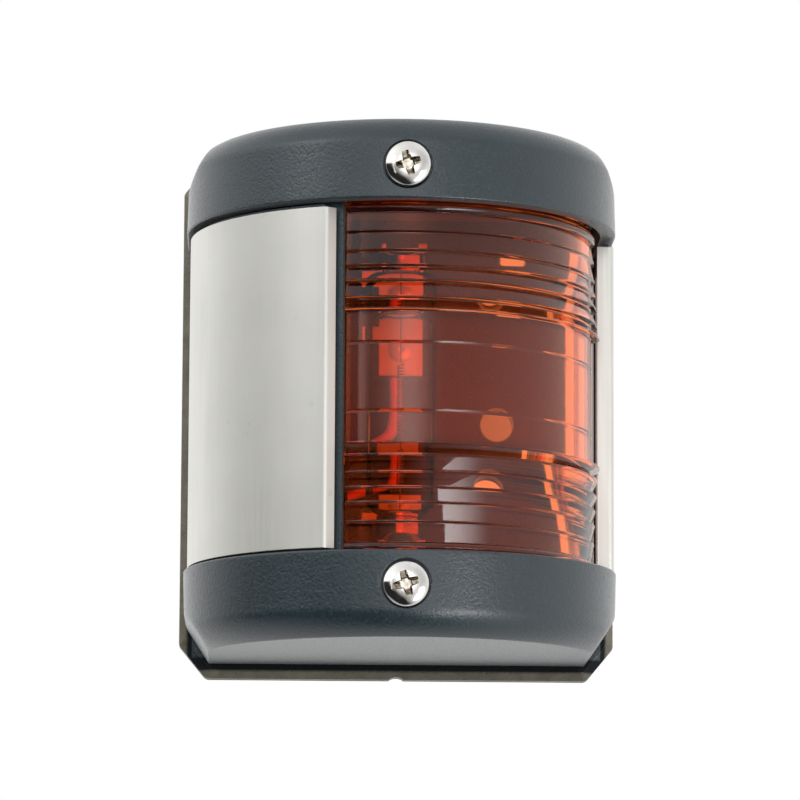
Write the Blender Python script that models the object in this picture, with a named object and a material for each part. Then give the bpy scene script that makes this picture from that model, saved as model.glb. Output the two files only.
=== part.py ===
"""Side navigation light for a small boat: one red 112.5 degree sector, wall mounted.

Frame: metres, +Z up, +Y into the wall. The origin is the centre of the mounting face, which
is the back of the gasket, and the light shines towards -Y and round to +X. The bulb stands on
the lamp axis, a vertical line through (0, AXIS_Y). Angles in plan are measured at that axis
from the front (-Y), positive towards +X.
"""

import math

import bmesh
import bpy
from mathutils import Matrix, Vector

# Clearances
GAP = 0.0003
HEAD_GAP = 0.0002

# Wall plate and gasket
PLATE_HALF_WIDTH = 0.0331
PLATE_HALF_HEIGHT = 0.0400
PLATE_CHAMFER_X = 0.0041
PLATE_CHAMFER_Z = 0.0050
PLATE_EDGE_BEVEL = 0.0011
GASKET_THICKNESS = 0.0008
PLATE_BACK_Y = -GASKET_THICKNESS - GAP
PLATE_FRONT_Y = -0.0032
MOUNT_HOLE_X = 0.0155
MOUNT_HOLE_Z = -0.0008
MOUNT_HOLE_RADIUS = 0.0026
DRAIN_NOTCH_RADIUS = 0.0019
DRAIN_NOTCH_Z = -PLATE_HALF_HEIGHT - 0.0015
SIDE_SLOT_X = (0.0272, 0.0301)
SIDE_SLOT_Z = (-0.0230, 0.0230)
VENT_SLOT_X = (0.0156, 0.0196)
VENT_SLOT_Z = (0.0163, 0.0194)
SLOT_CORNER = 0.0007

# Lamp axis and the two end caps, each a D in plan
AXIS_Y = -0.0180
CAP_RADIUS = 0.0323
CAP_WALL = 0.0022
CAP_INNER_Z = 0.0255
CAP_SHOULDER_Z = 0.0345
CAP_OUTER_Z = 0.0378
CAP_INSET = 0.0034
CAP_CROWN_ANGLE = 65.0
CAP_BACK_Y = PLATE_FRONT_Y - GAP
CAP_CORNER_X = 0.0045
CAP_CORNER_Z = 0.0069
CAP_CORNER_BULGE = 0.0006
CAP_FRONT_Y = AXIS_Y - CAP_RADIUS

# Cover screws, one through the front of each cap into a post of the base
SCREW_Z = 0.0305
SCREW_SHANK_RADIUS = 0.00175
SCREW_LENGTH = 0.0160
SCREW_TIP_RADIUS = 0.0004
SCREW_TIP_LENGTH = 0.0030
SCREW_HEAD_RADIUS = 0.00333
SCREW_HEAD_HEIGHT = 0.0015
SCREW_HEAD_RIM = 0.30
SCREW_DOME_HEIGHTS = (0.62, 0.85, 0.97)
SCREW_CROWN_RADIUS = 0.0006
SCREW_RECESS_DEPTH = 0.0009
SCREW_RECESS_ARM = 0.0020
SCREW_RECESS_HALF_WIDTH = 0.0004
SCREW_RECESS_TURN = 17.0
WASHER_THICKNESS = 0.0005
WASHER_RADIUS = 0.0033
SEAT_DEPTH = 0.0016
SEAT_RADIUS = 0.0036
BOSS_RADIUS = 0.0046
BOSS_BACK_Y = CAP_FRONT_Y + 0.0028
SEAT_Y = CAP_FRONT_Y + SEAT_DEPTH

# End shelves and screw posts of the base
SHELF_Z = 0.0278
SHELF_THICKNESS = 0.0016
SHELF_RADIUS = 0.0290
POST_HALF_WIDTH = 0.0034
POST_FRONT_Y = BOSS_BACK_Y + GAP
POST_BORE_DEPTH = 0.0160

# Lens
LENS_INNER_RADIUS = 0.0269
LENS_RADIUS = 0.0287
LENS_BEAD_RADIUS = 0.0293
LENS_BEAD_Z = 0.0248
LENS_BEAD_HALF_HEIGHT = 0.0004
LENS_END_Z = 0.0264
LENS_START = -17.6
LENS_RIB_END = 88.0
LENS_BACK_Y = -0.0170
LENS_LINE_Z = 0.0050
LENS_LINE_DEPTH = 0.00012
# Height and tip radius of each prism rib, from the lens end towards mid-height
LENS_RIBS = (
    (0.0213, 0.0291),
    (0.0185, 0.0292),
    (0.0163, 0.0293),
    (0.0141, 0.0295),
    (0.0116, 0.0296),
    (0.0098, 0.0299),
)
SEAL_THICKNESS = 0.0008

# Side walls of the base and the stainless shields on them
WALL_HALF_HEIGHT = 0.0251
WALL_OUTER_RADIUS = 0.0309
WALL_INNER_RADIUS = 0.0284
WALL_STEP_RADIUS = 0.0294
WALL_FRONT = -22.8
WALL_LIP_END = -18.3
RIGHT_WALL_INNER_X = 0.0304
RIGHT_WALL_OUTER_X = 0.0314
RIGHT_WALL_FRONT_Y = -0.0168
SHIELD_THICKNESS = 0.0005
SHIELD_RADIUS = 0.03175
SHIELD_FOLD = -21.6
SHIELD_FLANGE_END = -19.8
SHIELD_FLANGE_RADIUS = 0.0302
SHIELD_TOP_Z = 0.0246
SHIELD_BOTTOM_Z = -0.02515
RIGHT_SHIELD_X = 0.0322
RIGHT_SHIELD_FRONT_Y = -0.0178
RIGHT_SHIELD_FLANGE_X = 0.0296
RIGHT_SHIELD_BEND = 0.0009

# Festoon bulb, upright on the lamp axis
BULB_RADIUS = 0.0054
BULB_GLASS_WALL = 0.0007
BULB_SHOULDER_Z = 0.0112
BULB_NECK_RADIUS = 0.0028
BULB_NECK_Z = 0.0160
BULB_CAP_RADIUS = 0.0036
BULB_CAP_WALL = 0.0005
BULB_CAP_START_Z = 0.0142
BULB_CAP_FLOOR_Z = 0.0170
BULB_CONE_Z = 0.0184
BULB_TIP_RADIUS = 0.0009
BULB_TIP_Z = 0.0205
FILAMENT_RADIUS = 0.00012
FILAMENT_COIL_RADIUS = 0.0005
FILAMENT_COIL_HALF = 0.0060
FILAMENT_TURNS = 9
FILAMENT_END_Z = 0.0165

# Contacts, their pads on the base, rivets
CONTACT_WIDTH = 0.0067
CONTACT_X = 0.0003
CONTACT_THICKNESS = 0.0006
CONTACT_FOOT_Y = -0.0072
CONTACT_FOOT_END_Z = 0.0060
CONTACT_ARM_Z = 0.0194
CONTACT_ARM_FRONT_Y = -0.0224
CONTACT_LEAD_IN = 0.0012
CONTACT_SLOT_HALF_WIDTH = 0.0024
CONTACT_TAB_LENGTH = 0.0026
CONTACT_TAB_Z = (0.0113, 0.0135)
PAD_HALF_WIDTH = 0.0042
PAD_END_Z = 0.0142
RIVET_Z = 0.0098
RIVET_SHANK_RADIUS = 0.0010
RIVET_HOLE_RADIUS = 0.0013
RIVET_HEAD_RADIUS = 0.0018
RIVET_HEAD_HEIGHT = 0.0008
RIVET_DOME = ((0.85, 0.6), (0.4, 1.0))
RIVET_DEPTH = 0.0028
SPINE_HALF_WIDTH = 0.0010
SPINE_FRONT_Y = -0.0054

# Cable entry
GROMMET_X = -0.0155
GROMMET_Z = -0.0125
GROMMET_HOLE_RADIUS = 0.0036
GROMMET_RADIUS = 0.0033
GROMMET_FLANGE_RADIUS = 0.0046
GROMMET_FLANGE_THICKNESS = 0.0012
WIRE_RADIUS = 0.0009
WIRE_SPACING = 0.0016
WIRE_Y = -0.0074
WIRE_EXIT_Y = -0.0064
# Bends (x, z) of each wire between its contact and the grommet
POSITIVE_BENDS = (
    (-0.0005, 0.0056),
    (-0.0005, 0.0000),
    (-0.0018, -0.0036),
    (-0.0075, -0.0062),
    (-0.0120, -0.0092),
)
NEGATIVE_BENDS = ((-0.0060, -0.0124), (-0.0085, -0.0127), (-0.0120, -0.0139))

COLOURS = {
    "housing_black": ((0.035, 0.042, 0.046, 1.0), 0.45, 0.0),
    "lens_red": ((0.42, 0.05, 0.03, 1.0), 0.08, 0.0),
    "stainless": ((0.62, 0.61, 0.58, 1.0), 0.28, 1.0),
    "nickel": ((0.72, 0.71, 0.69, 1.0), 0.18, 1.0),
    "rubber": ((0.02, 0.02, 0.02, 1.0), 0.75, 0.0),
    "glass": ((0.90, 0.92, 0.93, 1.0), 0.03, 0.0),
    "tungsten": ((0.30, 0.30, 0.31, 1.0), 0.40, 1.0),
    "brass": ((0.66, 0.50, 0.22, 1.0), 0.30, 1.0),
    "wire_red": ((0.45, 0.02, 0.02, 1.0), 0.40, 0.0),
    "wire_black": ((0.02, 0.02, 0.02, 1.0), 0.40, 0.0),
}


def material(name):
    """The Principled material called name, made once."""
    found = bpy.data.materials.get(name)
    if found:
        return found
    made = bpy.data.materials.new(name)
    made.use_nodes = True
    shader = made.node_tree.nodes["Principled BSDF"]
    colour, roughness, metallic = COLOURS[name]
    shader.inputs["Base Color"].default_value = colour
    shader.inputs["Roughness"].default_value = roughness
    shader.inputs["Metallic"].default_value = metallic
    return made


def add_object(name, bm, finish, smooth=35.0):
    """A scene object from a bmesh, with outward normals and its own material."""
    bmesh.ops.recalc_face_normals(bm, faces=bm.faces)
    mesh = bpy.data.meshes.new(name)
    bm.to_mesh(mesh)
    bm.free()
    mesh.shade_smooth()
    mesh.set_sharp_from_angle(angle=math.radians(smooth))
    if finish:
        own = material(finish).copy()
        own.name = name + "_finish"
        mesh.materials.append(own)
    obj = bpy.data.objects.new(name, mesh)
    bpy.context.scene.collection.objects.link(obj)
    return obj


def combine(obj, operation, bm):
    """A Boolean of obj with a hidden helper shape."""
    helper = add_object(obj.name + "_helper", bm, None)
    helper.hide_render = True
    helper.display_type = "WIRE"
    modifier = obj.modifiers.new(operation.lower(), "BOOLEAN")
    modifier.operation = operation
    modifier.object = helper
    modifier.solver = "EXACT"


def join(obj, bm):
    combine(obj, "UNION", bm)


def cut(obj, bm):
    combine(obj, "DIFFERENCE", bm)


def polar(radius, degrees):
    """Plan point at a radius from the lamp axis, at an angle from the front."""
    angle = math.radians(degrees)
    return (radius * math.sin(angle), AXIS_Y - radius * math.cos(angle))


def arc(radius, start, end, steps):
    """Plan points along an arc about the lamp axis."""
    return [polar(radius, start + (end - start) * i / steps) for i in range(steps + 1)]


def d_outline(radius, back_y, steps=30):
    """Half circle at the front with straight sides back to back_y."""
    return [(-radius, back_y)] + arc(radius, -90.0, 90.0, steps) + [(radius, back_y)]


def circle(radius, segments, centre=(0.0, 0.0)):
    """Closed circle of points in a plane."""
    turns = [2 * math.pi * i / segments for i in range(segments)]
    return [(centre[0] + radius * math.cos(t), centre[1] + radius * math.sin(t)) for t in turns]


def loft(rings, closed=False):
    """Solid through rings of points with equal counts, capped at both ends or joined end to end."""
    bm = bmesh.new()
    rows = [[bm.verts.new(point) for point in ring] for ring in rings]
    pairs = list(zip(rows, rows[1:]))
    if closed:
        pairs.append((rows[-1], rows[0]))
    count = len(rows[0])
    for low, high in pairs:
        for i in range(count):
            j = (i + 1) % count
            bm.faces.new((low[i], low[j], high[j], high[i]))
    if not closed:
        bm.faces.new(rows[0])
        bm.faces.new(rows[-1])
    return bm


def prism_z(outline, low, high):
    """Plan outline extruded along Z."""
    return loft([[Vector((x, y, z)) for x, y in outline] for z in (low, high)])


def prism_y(outline, back, front):
    """Front-view outline (x, z) extruded along Y."""
    return loft([[Vector((x, y, z)) for x, z in outline] for y in (back, front)])


def prism_x(outline, left, right):
    """Side-view outline (y, z) extruded along X."""
    return loft([[Vector((x, y, z)) for y, z in outline] for x in (left, right)])


def box(x, y, z):
    """Block between pairs of coordinates."""
    return prism_z([(x[0], y[0]), (x[1], y[0]), (x[1], y[1]), (x[0], y[1])], z[0], z[1])


def rod_y(radius, back, front, x, z, segments=24):
    """Round rod along Y."""
    return prism_y(circle(radius, segments, (x, z)), back, front)


def turned(profile, segments, closed=False):
    """Turned solid about local Z from (radius, height) points."""
    rings = [[Vector((x, y, h)) for x, y in circle(r, segments)] for r, h in profile]
    return loft(rings, closed)


def tube(path, radius, sides):
    """Round wire along a path of points."""
    side = Vector((1.0, 0.0, 0.0))
    rings = []
    for i, point in enumerate(path):
        along = (path[min(i + 1, len(path) - 1)] - path[max(i - 1, 0)]).normalized()
        side = (side - along * side.dot(along)).normalized()
        other = along.cross(side)
        rings.append([point + side * x + other * y for x, y in circle(radius, sides)])
    return loft(rings)


def smooth_path(corners, steps):
    """Catmull-Rom curve through the corner points."""
    ends = [2 * corners[0] - corners[1]] + list(corners) + [2 * corners[-1] - corners[-2]]
    path = []
    for a, b, c, d in zip(ends, ends[1:], ends[2:], ends[3:]):
        for i in range(steps):
            t = i / steps
            bow = (2 * a - 5 * b + 4 * c - d) * t**2 + (3 * b - a - 3 * c + d) * t**3
            path.append(0.5 * (2 * b + (c - a) * t + bow))
    path.append(corners[-1])
    return path


def slice_off(bm, point, normal):
    """Cut a solid by a plane and drop the side that the normal points to."""
    geometry = bm.verts[:] + bm.edges[:] + bm.faces[:]
    found = bmesh.ops.bisect_plane(bm, geom=geometry, plane_co=point, plane_no=normal, clear_outer=True)
    edges = [item for item in found["geom_cut"] if isinstance(item, bmesh.types.BMEdge)]
    bmesh.ops.contextual_create(bm, geom=edges)


# Base ---------------------------------------------------------------------------------------


def plate_outline(inset=0.0):
    """Rectangle with cut corners, moved in by inset on every side."""
    share = inset * (math.hypot(PLATE_CHAMFER_X, PLATE_CHAMFER_Z) - PLATE_CHAMFER_X - PLATE_CHAMFER_Z)
    trim_x = PLATE_CHAMFER_X + share / PLATE_CHAMFER_Z
    trim_z = PLATE_CHAMFER_Z + share / PLATE_CHAMFER_X
    width = PLATE_HALF_WIDTH - inset
    height = PLATE_HALF_HEIGHT - inset
    quarter = [(width, height - trim_z), (width - trim_x, height)]
    half = quarter + [(-x, z) for x, z in reversed(quarter)]
    return half + [(-x, -z) for x, z in half]


def plate():
    """Wall plate with its front edges beveled."""
    levels = (
        (PLATE_BACK_Y, 0.0),
        (PLATE_FRONT_Y + PLATE_EDGE_BEVEL, 0.0),
        (PLATE_FRONT_Y, PLATE_EDGE_BEVEL),
    )
    return loft([[Vector((x, y, z)) for x, z in plate_outline(inset)] for y, inset in levels])


def left_wall(inner, outer, front_inner, half_height):
    """Curved wall from the plate round to an angle at the front left."""
    back = PLATE_FRONT_Y + GAP
    outside = [(-outer, back)] + arc(outer, -90.0, front_inner, 14)
    inside = [(-inner, back)] + arc(inner, -90.0, front_inner, 14)
    return prism_z(outside + inside[::-1], -half_height, half_height)


def post(side):
    """Screw post on an end shelf, rounded on the outside."""
    low = side * (SHELF_Z + GAP)
    middle = side * SCREW_Z
    turns = [math.pi * i / 10 for i in range(11)]
    top = [(POST_HALF_WIDTH * math.cos(t), middle + side * POST_HALF_WIDTH * math.sin(t)) for t in turns]
    outline = [(POST_HALF_WIDTH, low)] + top + [(-POST_HALF_WIDTH, low)]
    return prism_y(outline, PLATE_FRONT_Y + GAP, POST_FRONT_Y)


def slot_cutter(x, z):
    """Upright slot with cut corners through the plate and the gasket."""
    c = SLOT_CORNER
    outline = [(x[0], z[0] + c), (x[0] + c, z[0]), (x[1] - c, z[0]), (x[1], z[0] + c)]
    outline += [(x[1], z[1] - c), (x[1] - c, z[1]), (x[0] + c, z[1]), (x[0], z[1] - c)]
    return prism_y(outline, GASKET_THICKNESS, 2 * PLATE_FRONT_Y)


def open_back(obj):
    """Cut the openings that go through both the plate and the gasket."""
    beyond = (GASKET_THICKNESS, 2 * PLATE_FRONT_Y)
    for side in (1, -1):
        cut(obj, rod_y(MOUNT_HOLE_RADIUS, *beyond, side * MOUNT_HOLE_X, MOUNT_HOLE_Z))
    cut(obj, rod_y(GROMMET_HOLE_RADIUS, *beyond, GROMMET_X, GROMMET_Z))
    cut(obj, rod_y(DRAIN_NOTCH_RADIUS, *beyond, 0.0, DRAIN_NOTCH_Z, 28))
    cut(obj, slot_cutter(SIDE_SLOT_X, SIDE_SLOT_Z))
    cut(obj, slot_cutter(VENT_SLOT_X, VENT_SLOT_Z))


def base_housing():
    """Wall plate, end shelves, screw posts, side walls and contact pads in one moulding."""
    base = add_object("base_housing", plate(), "housing_black")
    root = PLATE_FRONT_Y + GAP
    wall_top = SHELF_Z + SHELF_THICKNESS
    pad_x = (CONTACT_X - PAD_HALF_WIDTH, CONTACT_X + PAD_HALF_WIDTH)
    for side in (1, -1):
        join(base, prism_z(d_outline(SHELF_RADIUS, root), side * SHELF_Z, side * wall_top))
        join(base, post(side))
        pad_z = (side * CONTACT_FOOT_END_Z, side * PAD_END_Z)
        join(base, box(pad_x, (root, CONTACT_FOOT_Y + GAP), pad_z))
    join(base, left_wall(WALL_INNER_RADIUS, WALL_STEP_RADIUS, WALL_LIP_END, wall_top - GAP))
    join(base, left_wall(WALL_STEP_RADIUS - GAP, WALL_OUTER_RADIUS, WALL_FRONT, WALL_HALF_HEIGHT))
    wall_x = (RIGHT_WALL_INNER_X, RIGHT_WALL_OUTER_X)
    join(base, box(wall_x, (root, RIGHT_WALL_FRONT_Y), (-WALL_HALF_HEIGHT, WALL_HALF_HEIGHT)))
    spine_x = (-SPINE_HALF_WIDTH, SPINE_HALF_WIDTH)
    spine_z = CONTACT_FOOT_END_Z + GAP
    join(base, box(spine_x, (root, SPINE_FRONT_Y), (-spine_z, spine_z)))
    bore_end = POST_FRONT_Y + POST_BORE_DEPTH
    rivet_end = CONTACT_FOOT_Y + RIVET_DEPTH + GAP
    for side in (1, -1):
        cut(base, rod_y(SCREW_SHANK_RADIUS + GAP, bore_end, CAP_FRONT_Y, 0.0, side * SCREW_Z))
        cut(base, rod_y(RIVET_HOLE_RADIUS, rivet_end, 2 * CONTACT_FOOT_Y, CONTACT_X, side * RIVET_Z, 16))
    open_back(base)


def mount_gasket():
    """Flat foam gasket behind the plate, with the plate's openings."""
    gasket = add_object("mount_gasket", prism_y(plate_outline(), 0.0, -GASKET_THICKNESS), "rubber")
    open_back(gasket)


# End caps -----------------------------------------------------------------------------------


def cap_levels(inset, end_trim):
    """(height, inset) levels of a cap from its inner edge to its crown, with a soft shoulder."""
    levels = [(CAP_INNER_Z, inset)]
    crown = math.radians(CAP_CROWN_ANGLE)
    steps = 5
    for i in range(steps + 1):
        t = crown * i / steps
        rise = math.sin(t) / math.sin(crown)
        drop = (1 - math.cos(t)) / (1 - math.cos(crown))
        height = CAP_SHOULDER_Z - end_trim + (CAP_OUTER_Z - CAP_SHOULDER_Z) * rise
        levels.append((height, inset + CAP_INSET * drop))
    return levels


def cap_solid(side, inset, end_trim, back_y):
    """D-shaped block with its two outer corners sliced off."""
    rings = []
    for height, step_in in cap_levels(inset, end_trim):
        outline = d_outline(CAP_RADIUS - step_in, back_y)
        rings.append([Vector((x, y, side * height)) for x, y in outline])
    bm = loft(rings)
    for hand in (1, -1):
        normal = Vector((hand * CAP_CORNER_Z, 0.0, side * CAP_CORNER_X)).normalized()
        corner = Vector((hand * CAP_RADIUS, 0.0, side * (CAP_OUTER_Z - CAP_CORNER_Z)))
        slice_off(bm, corner + normal * (CAP_CORNER_BULGE - inset), normal)
    return bm


def end_cap(name, side):
    """Moulded end cap: open to the wall and to the lens, with a screw seat at the front."""
    cap = add_object(name, cap_solid(side, 0.0, 0.0, CAP_BACK_Y), "housing_black")
    cavity = cap_solid(side, CAP_WALL, CAP_WALL, CAP_BACK_Y + CAP_WALL)
    bmesh.ops.translate(cavity, verts=cavity.verts, vec=(0.0, 0.0, -side * GAP))
    cut(cap, cavity)
    z = side * SCREW_Z
    before = CAP_FRONT_Y - CAP_WALL
    behind = CAP_FRONT_Y + 2 * CAP_WALL
    join(cap, rod_y(BOSS_RADIUS, BOSS_BACK_Y, CAP_FRONT_Y + CAP_WALL / 2, 0.0, z, 28))
    cut(cap, rod_y(SEAT_RADIUS, SEAT_Y, before, 0.0, z, 28))
    cut(cap, rod_y(SCREW_SHANK_RADIUS + GAP, behind, before, 0.0, z))


def cross_recess():
    """Cross-shaped pocket cutter for a screw head, in the head's local frame."""
    a = SCREW_RECESS_ARM
    w = SCREW_RECESS_HALF_WIDTH
    corner = [(a, -w), (a, w), (w, w)]
    outline = []
    for quarter in range(4):
        angle = math.radians(90.0 * quarter + SCREW_RECESS_TURN)
        c, s = math.cos(angle), math.sin(angle)
        outline += [(x * c - y * s, x * s + y * c) for x, y in corner]
    return prism_z(outline, SCREW_HEAD_HEIGHT - SCREW_RECESS_DEPTH, 2 * SCREW_HEAD_HEIGHT)


def screw_profile():
    """(radius, height) from the tip of the screw to its crown; the head starts at height 0."""
    profile = [(SCREW_TIP_RADIUS, -SCREW_LENGTH), (SCREW_SHANK_RADIUS, -SCREW_LENGTH + SCREW_TIP_LENGTH)]
    profile += [(SCREW_SHANK_RADIUS, 0.0), (SCREW_HEAD_RADIUS, 0.0)]
    profile.append((SCREW_HEAD_RADIUS, SCREW_HEAD_HEIGHT * SCREW_HEAD_RIM))
    for share in SCREW_DOME_HEIGHTS:
        rise = (share - SCREW_HEAD_RIM) / (1 - SCREW_HEAD_RIM)
        radius = SCREW_CROWN_RADIUS + (SCREW_HEAD_RADIUS - SCREW_CROWN_RADIUS) * math.sqrt(1 - rise**2)
        profile.append((radius, SCREW_HEAD_HEIGHT * share))
    profile.append((SCREW_CROWN_RADIUS, SCREW_HEAD_HEIGHT))
    return profile


def cover_screw(name, z):
    """Pan-head screw with a cross recess; local +Z is the way it faces."""
    place = stand(SEAT_Y - 2 * HEAD_GAP - WASHER_THICKNESS, z)
    screw = add_object(name, turned(screw_profile(), 28), "nickel")
    cutter = cross_recess()
    bmesh.ops.transform(cutter, verts=cutter.verts, matrix=place)
    cut(screw, cutter)
    screw.matrix_world = place


def stand(y, z, x=0.0):
    """Placement with local +Z towards the front."""
    return Matrix.Translation((x, y, z)) @ Matrix.Rotation(math.radians(90.0), 4, "X")


def screw_washer(name, z):
    """Rubber sealing washer under a screw head."""
    inner = SCREW_SHANK_RADIUS + GAP
    half = WASHER_THICKNESS / 2
    profile = [(inner, -half), (WASHER_RADIUS, -half), (WASHER_RADIUS, half), (inner, half)]
    washer = add_object(name, turned(profile, 28, closed=True), "rubber")
    washer.matrix_world = stand(SEAT_Y - HEAD_GAP - half, z)


# Lens ---------------------------------------------------------------------------------------


def lens_outer_profile():
    """(radius, height) down the outside of the lens, ribs mirrored about mid-height."""
    upper = [(LENS_RADIUS, LENS_END_Z), (LENS_RADIUS, LENS_BEAD_Z + 2 * LENS_BEAD_HALF_HEIGHT)]
    upper.append((LENS_BEAD_RADIUS, LENS_BEAD_Z + LENS_BEAD_HALF_HEIGHT))
    upper.append((LENS_BEAD_RADIUS, LENS_BEAD_Z - LENS_BEAD_HALF_HEIGHT))
    upper.append((LENS_RADIUS, LENS_BEAD_Z - 2 * LENS_BEAD_HALF_HEIGHT))
    for height, tip in LENS_RIBS:
        upper.append((tip, height))
        upper.append((LENS_RADIUS, height - GAP / 2))
    upper.append((LENS_RADIUS, LENS_LINE_Z + GAP))
    upper.append((LENS_RADIUS - LENS_LINE_DEPTH, LENS_LINE_Z))
    return upper + [(radius, -height) for radius, height in reversed(upper)]


def lens_section(outer):
    """Closed cross-section of the lens."""
    return outer + [(LENS_INNER_RADIUS, -LENS_END_Z), (LENS_INNER_RADIUS, LENS_END_Z)]


def along_lens(section):
    """Solid of a section swept round the lens and back along its straight side, ribs cut flush."""
    rings = []
    steps = 18
    for i in range(steps + 1):
        angle = LENS_START + (LENS_RIB_END - LENS_START) * i / steps
        rings.append([Vector((*polar(radius, angle), z)) for radius, z in section])
    for y in (AXIS_Y, LENS_BACK_Y):
        rings.append([Vector((min(radius, LENS_RADIUS), y, z)) for radius, z in section])
    return loft(rings)


def lens():
    """Red lens with horizontal prism ribs, round the lit sector to the right side."""
    add_object("lens", along_lens(lens_section(lens_outer_profile())), "lens_red", 25.0)


def lens_seal(name, side):
    """Flat rubber strip between a lens edge and an end shelf."""
    low = side * (LENS_END_Z + GAP)
    high = side * (LENS_END_Z + GAP + SEAL_THICKNESS)
    inner, outer = LENS_INNER_RADIUS + GAP, LENS_RADIUS - GAP
    add_object(name, along_lens([(outer, low), (outer, high), (inner, high), (inner, low)]), "rubber")


# Shields ------------------------------------------------------------------------------------


def left_shield():
    """Stainless sheet round the left wall, its front edge folded in towards the lens."""
    t = SHIELD_THICKNESS
    back = CAP_BACK_Y
    outside = [(-SHIELD_RADIUS, back)] + arc(SHIELD_RADIUS, -90.0, SHIELD_FOLD, 16)
    outside.append(polar(SHIELD_FLANGE_RADIUS, SHIELD_FLANGE_END))
    inside = [(-SHIELD_RADIUS + t, back)] + arc(SHIELD_RADIUS - t, -90.0, SHIELD_FOLD - 0.6, 16)
    inside.append(polar(SHIELD_FLANGE_RADIUS - t / 2, SHIELD_FLANGE_END - 0.9))
    add_object("left_shield", prism_z(outside + inside[::-1], SHIELD_BOTTOM_Z, SHIELD_TOP_Z), "stainless")


def bend(centre, radius, steps=4):
    """Quarter turn from the right side to the front of a folded sheet."""
    turns = [math.radians(-90.0 * i / steps) for i in range(steps + 1)]
    return [(centre[0] + radius * math.cos(t), centre[1] + radius * math.sin(t)) for t in turns]


def right_shield():
    """Stainless angle on the right wall with a narrow flange facing forward."""
    t = SHIELD_THICKNESS
    centre = (RIGHT_SHIELD_X - RIGHT_SHIELD_BEND, RIGHT_SHIELD_FRONT_Y + RIGHT_SHIELD_BEND)
    outside = [(RIGHT_SHIELD_X, CAP_BACK_Y)] + bend(centre, RIGHT_SHIELD_BEND)
    outside.append((RIGHT_SHIELD_FLANGE_X, RIGHT_SHIELD_FRONT_Y))
    inside = [(RIGHT_SHIELD_X - t, CAP_BACK_Y)] + bend(centre, RIGHT_SHIELD_BEND - t)
    inside.append((RIGHT_SHIELD_FLANGE_X, RIGHT_SHIELD_FRONT_Y + t))
    add_object("right_shield", prism_z(outside + inside[::-1], SHIELD_BOTTOM_Z, SHIELD_TOP_Z), "stainless")


# Bulb and contacts --------------------------------------------------------------------------


def on_lamp_axis(obj):
    """Place a turned piece on the lamp axis."""
    obj.location = (0.0, AXIS_Y, 0.0)


def bulb_glass():
    """Glass tube of the festoon bulb, necked and open at both ends inside the metal caps."""
    shoulder = []
    for i in range(7):
        t = math.pi / 2 * i / 6
        radius = BULB_NECK_RADIUS + (BULB_RADIUS - BULB_NECK_RADIUS) * math.cos(t)
        shoulder.append((radius, BULB_SHOULDER_Z + (BULB_RADIUS - BULB_NECK_RADIUS) * math.sin(t)))
    upper = shoulder + [(BULB_NECK_RADIUS, BULB_NECK_Z)]
    outside = [(radius, -height) for radius, height in reversed(upper)] + upper
    inside = [(radius - BULB_GLASS_WALL, height) for radius, height in reversed(outside)]
    on_lamp_axis(add_object("bulb_glass", turned(outside + inside, 28, closed=True), "glass"))


def bulb_cap(name, side):
    """Metal end cup of the bulb with a conical contact tip."""
    inner = BULB_CAP_RADIUS - BULB_CAP_WALL
    profile = [(BULB_TIP_RADIUS, BULB_CAP_FLOOR_Z), (inner, BULB_CAP_FLOOR_Z), (inner, BULB_CAP_START_Z)]
    profile += [(BULB_CAP_RADIUS, BULB_CAP_START_Z), (BULB_CAP_RADIUS, BULB_CONE_Z)]
    profile.append((BULB_TIP_RADIUS, BULB_TIP_Z))
    on_lamp_axis(add_object(name, turned([(r, side * h) for r, h in profile], 24), "nickel"))


def bulb_filament():
    """Coiled filament between two straight leads."""
    path = [Vector((0.0, 0.0, -FILAMENT_END_Z))]
    steps = FILAMENT_TURNS * 9
    for i in range(steps + 1):
        t = 2 * math.pi * FILAMENT_TURNS * i / steps
        z = FILAMENT_COIL_HALF * (2 * i / steps - 1)
        path.append(Vector((FILAMENT_COIL_RADIUS * math.cos(t), FILAMENT_COIL_RADIUS * math.sin(t), z)))
    path.append(Vector((0.0, 0.0, FILAMENT_END_Z)))
    on_lamp_axis(add_object("bulb_filament", tube(path, FILAMENT_RADIUS, 5), "tungsten"))


def contact_outline():
    """Side view (y, z) of the upper contact: foot, arm and lead-in."""
    t = CONTACT_THICKNESS
    y = CONTACT_FOOT_Y
    z = CONTACT_ARM_Z
    reach = CONTACT_ARM_FRONT_Y
    lead = CONTACT_LEAD_IN
    return [
        (y, CONTACT_FOOT_END_Z),
        (y, z + t),
        (reach, z + t),
        (reach - lead, z + t + lead),
        (reach - lead - 0.7 * t, z + lead + 0.3 * t),
        (reach - 0.4 * t, z),
        (y - t, z),
        (y - t, CONTACT_FOOT_END_Z),
    ]


def contact(name, side):
    """Spring brass contact: riveted foot, arm to the bulb tip, slotted so the bulb pulls out."""
    t = CONTACT_THICKNESS
    y = CONTACT_FOOT_Y
    left = CONTACT_X - CONTACT_WIDTH / 2
    outline = [(depth, side * height) for depth, height in contact_outline()]
    piece = add_object(name, prism_x(outline, left, left + CONTACT_WIDTH), "brass")
    tab_z = (side * CONTACT_TAB_Z[0], side * CONTACT_TAB_Z[1])
    join(piece, box((left - CONTACT_TAB_LENGTH, left + t), (y - t, y), tab_z))
    slot = CONTACT_SLOT_HALF_WIDTH
    above = CONTACT_ARM_Z + 2 * t + 2 * CONTACT_LEAD_IN
    cut(piece, box((-slot, slot), (AXIS_Y + slot, 2 * AXIS_Y), (side * (CONTACT_ARM_Z - t), side * above)))
    cut(piece, rod_y(RIVET_HOLE_RADIUS, 0.0, 2 * y, CONTACT_X, side * RIVET_Z, 16))


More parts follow.
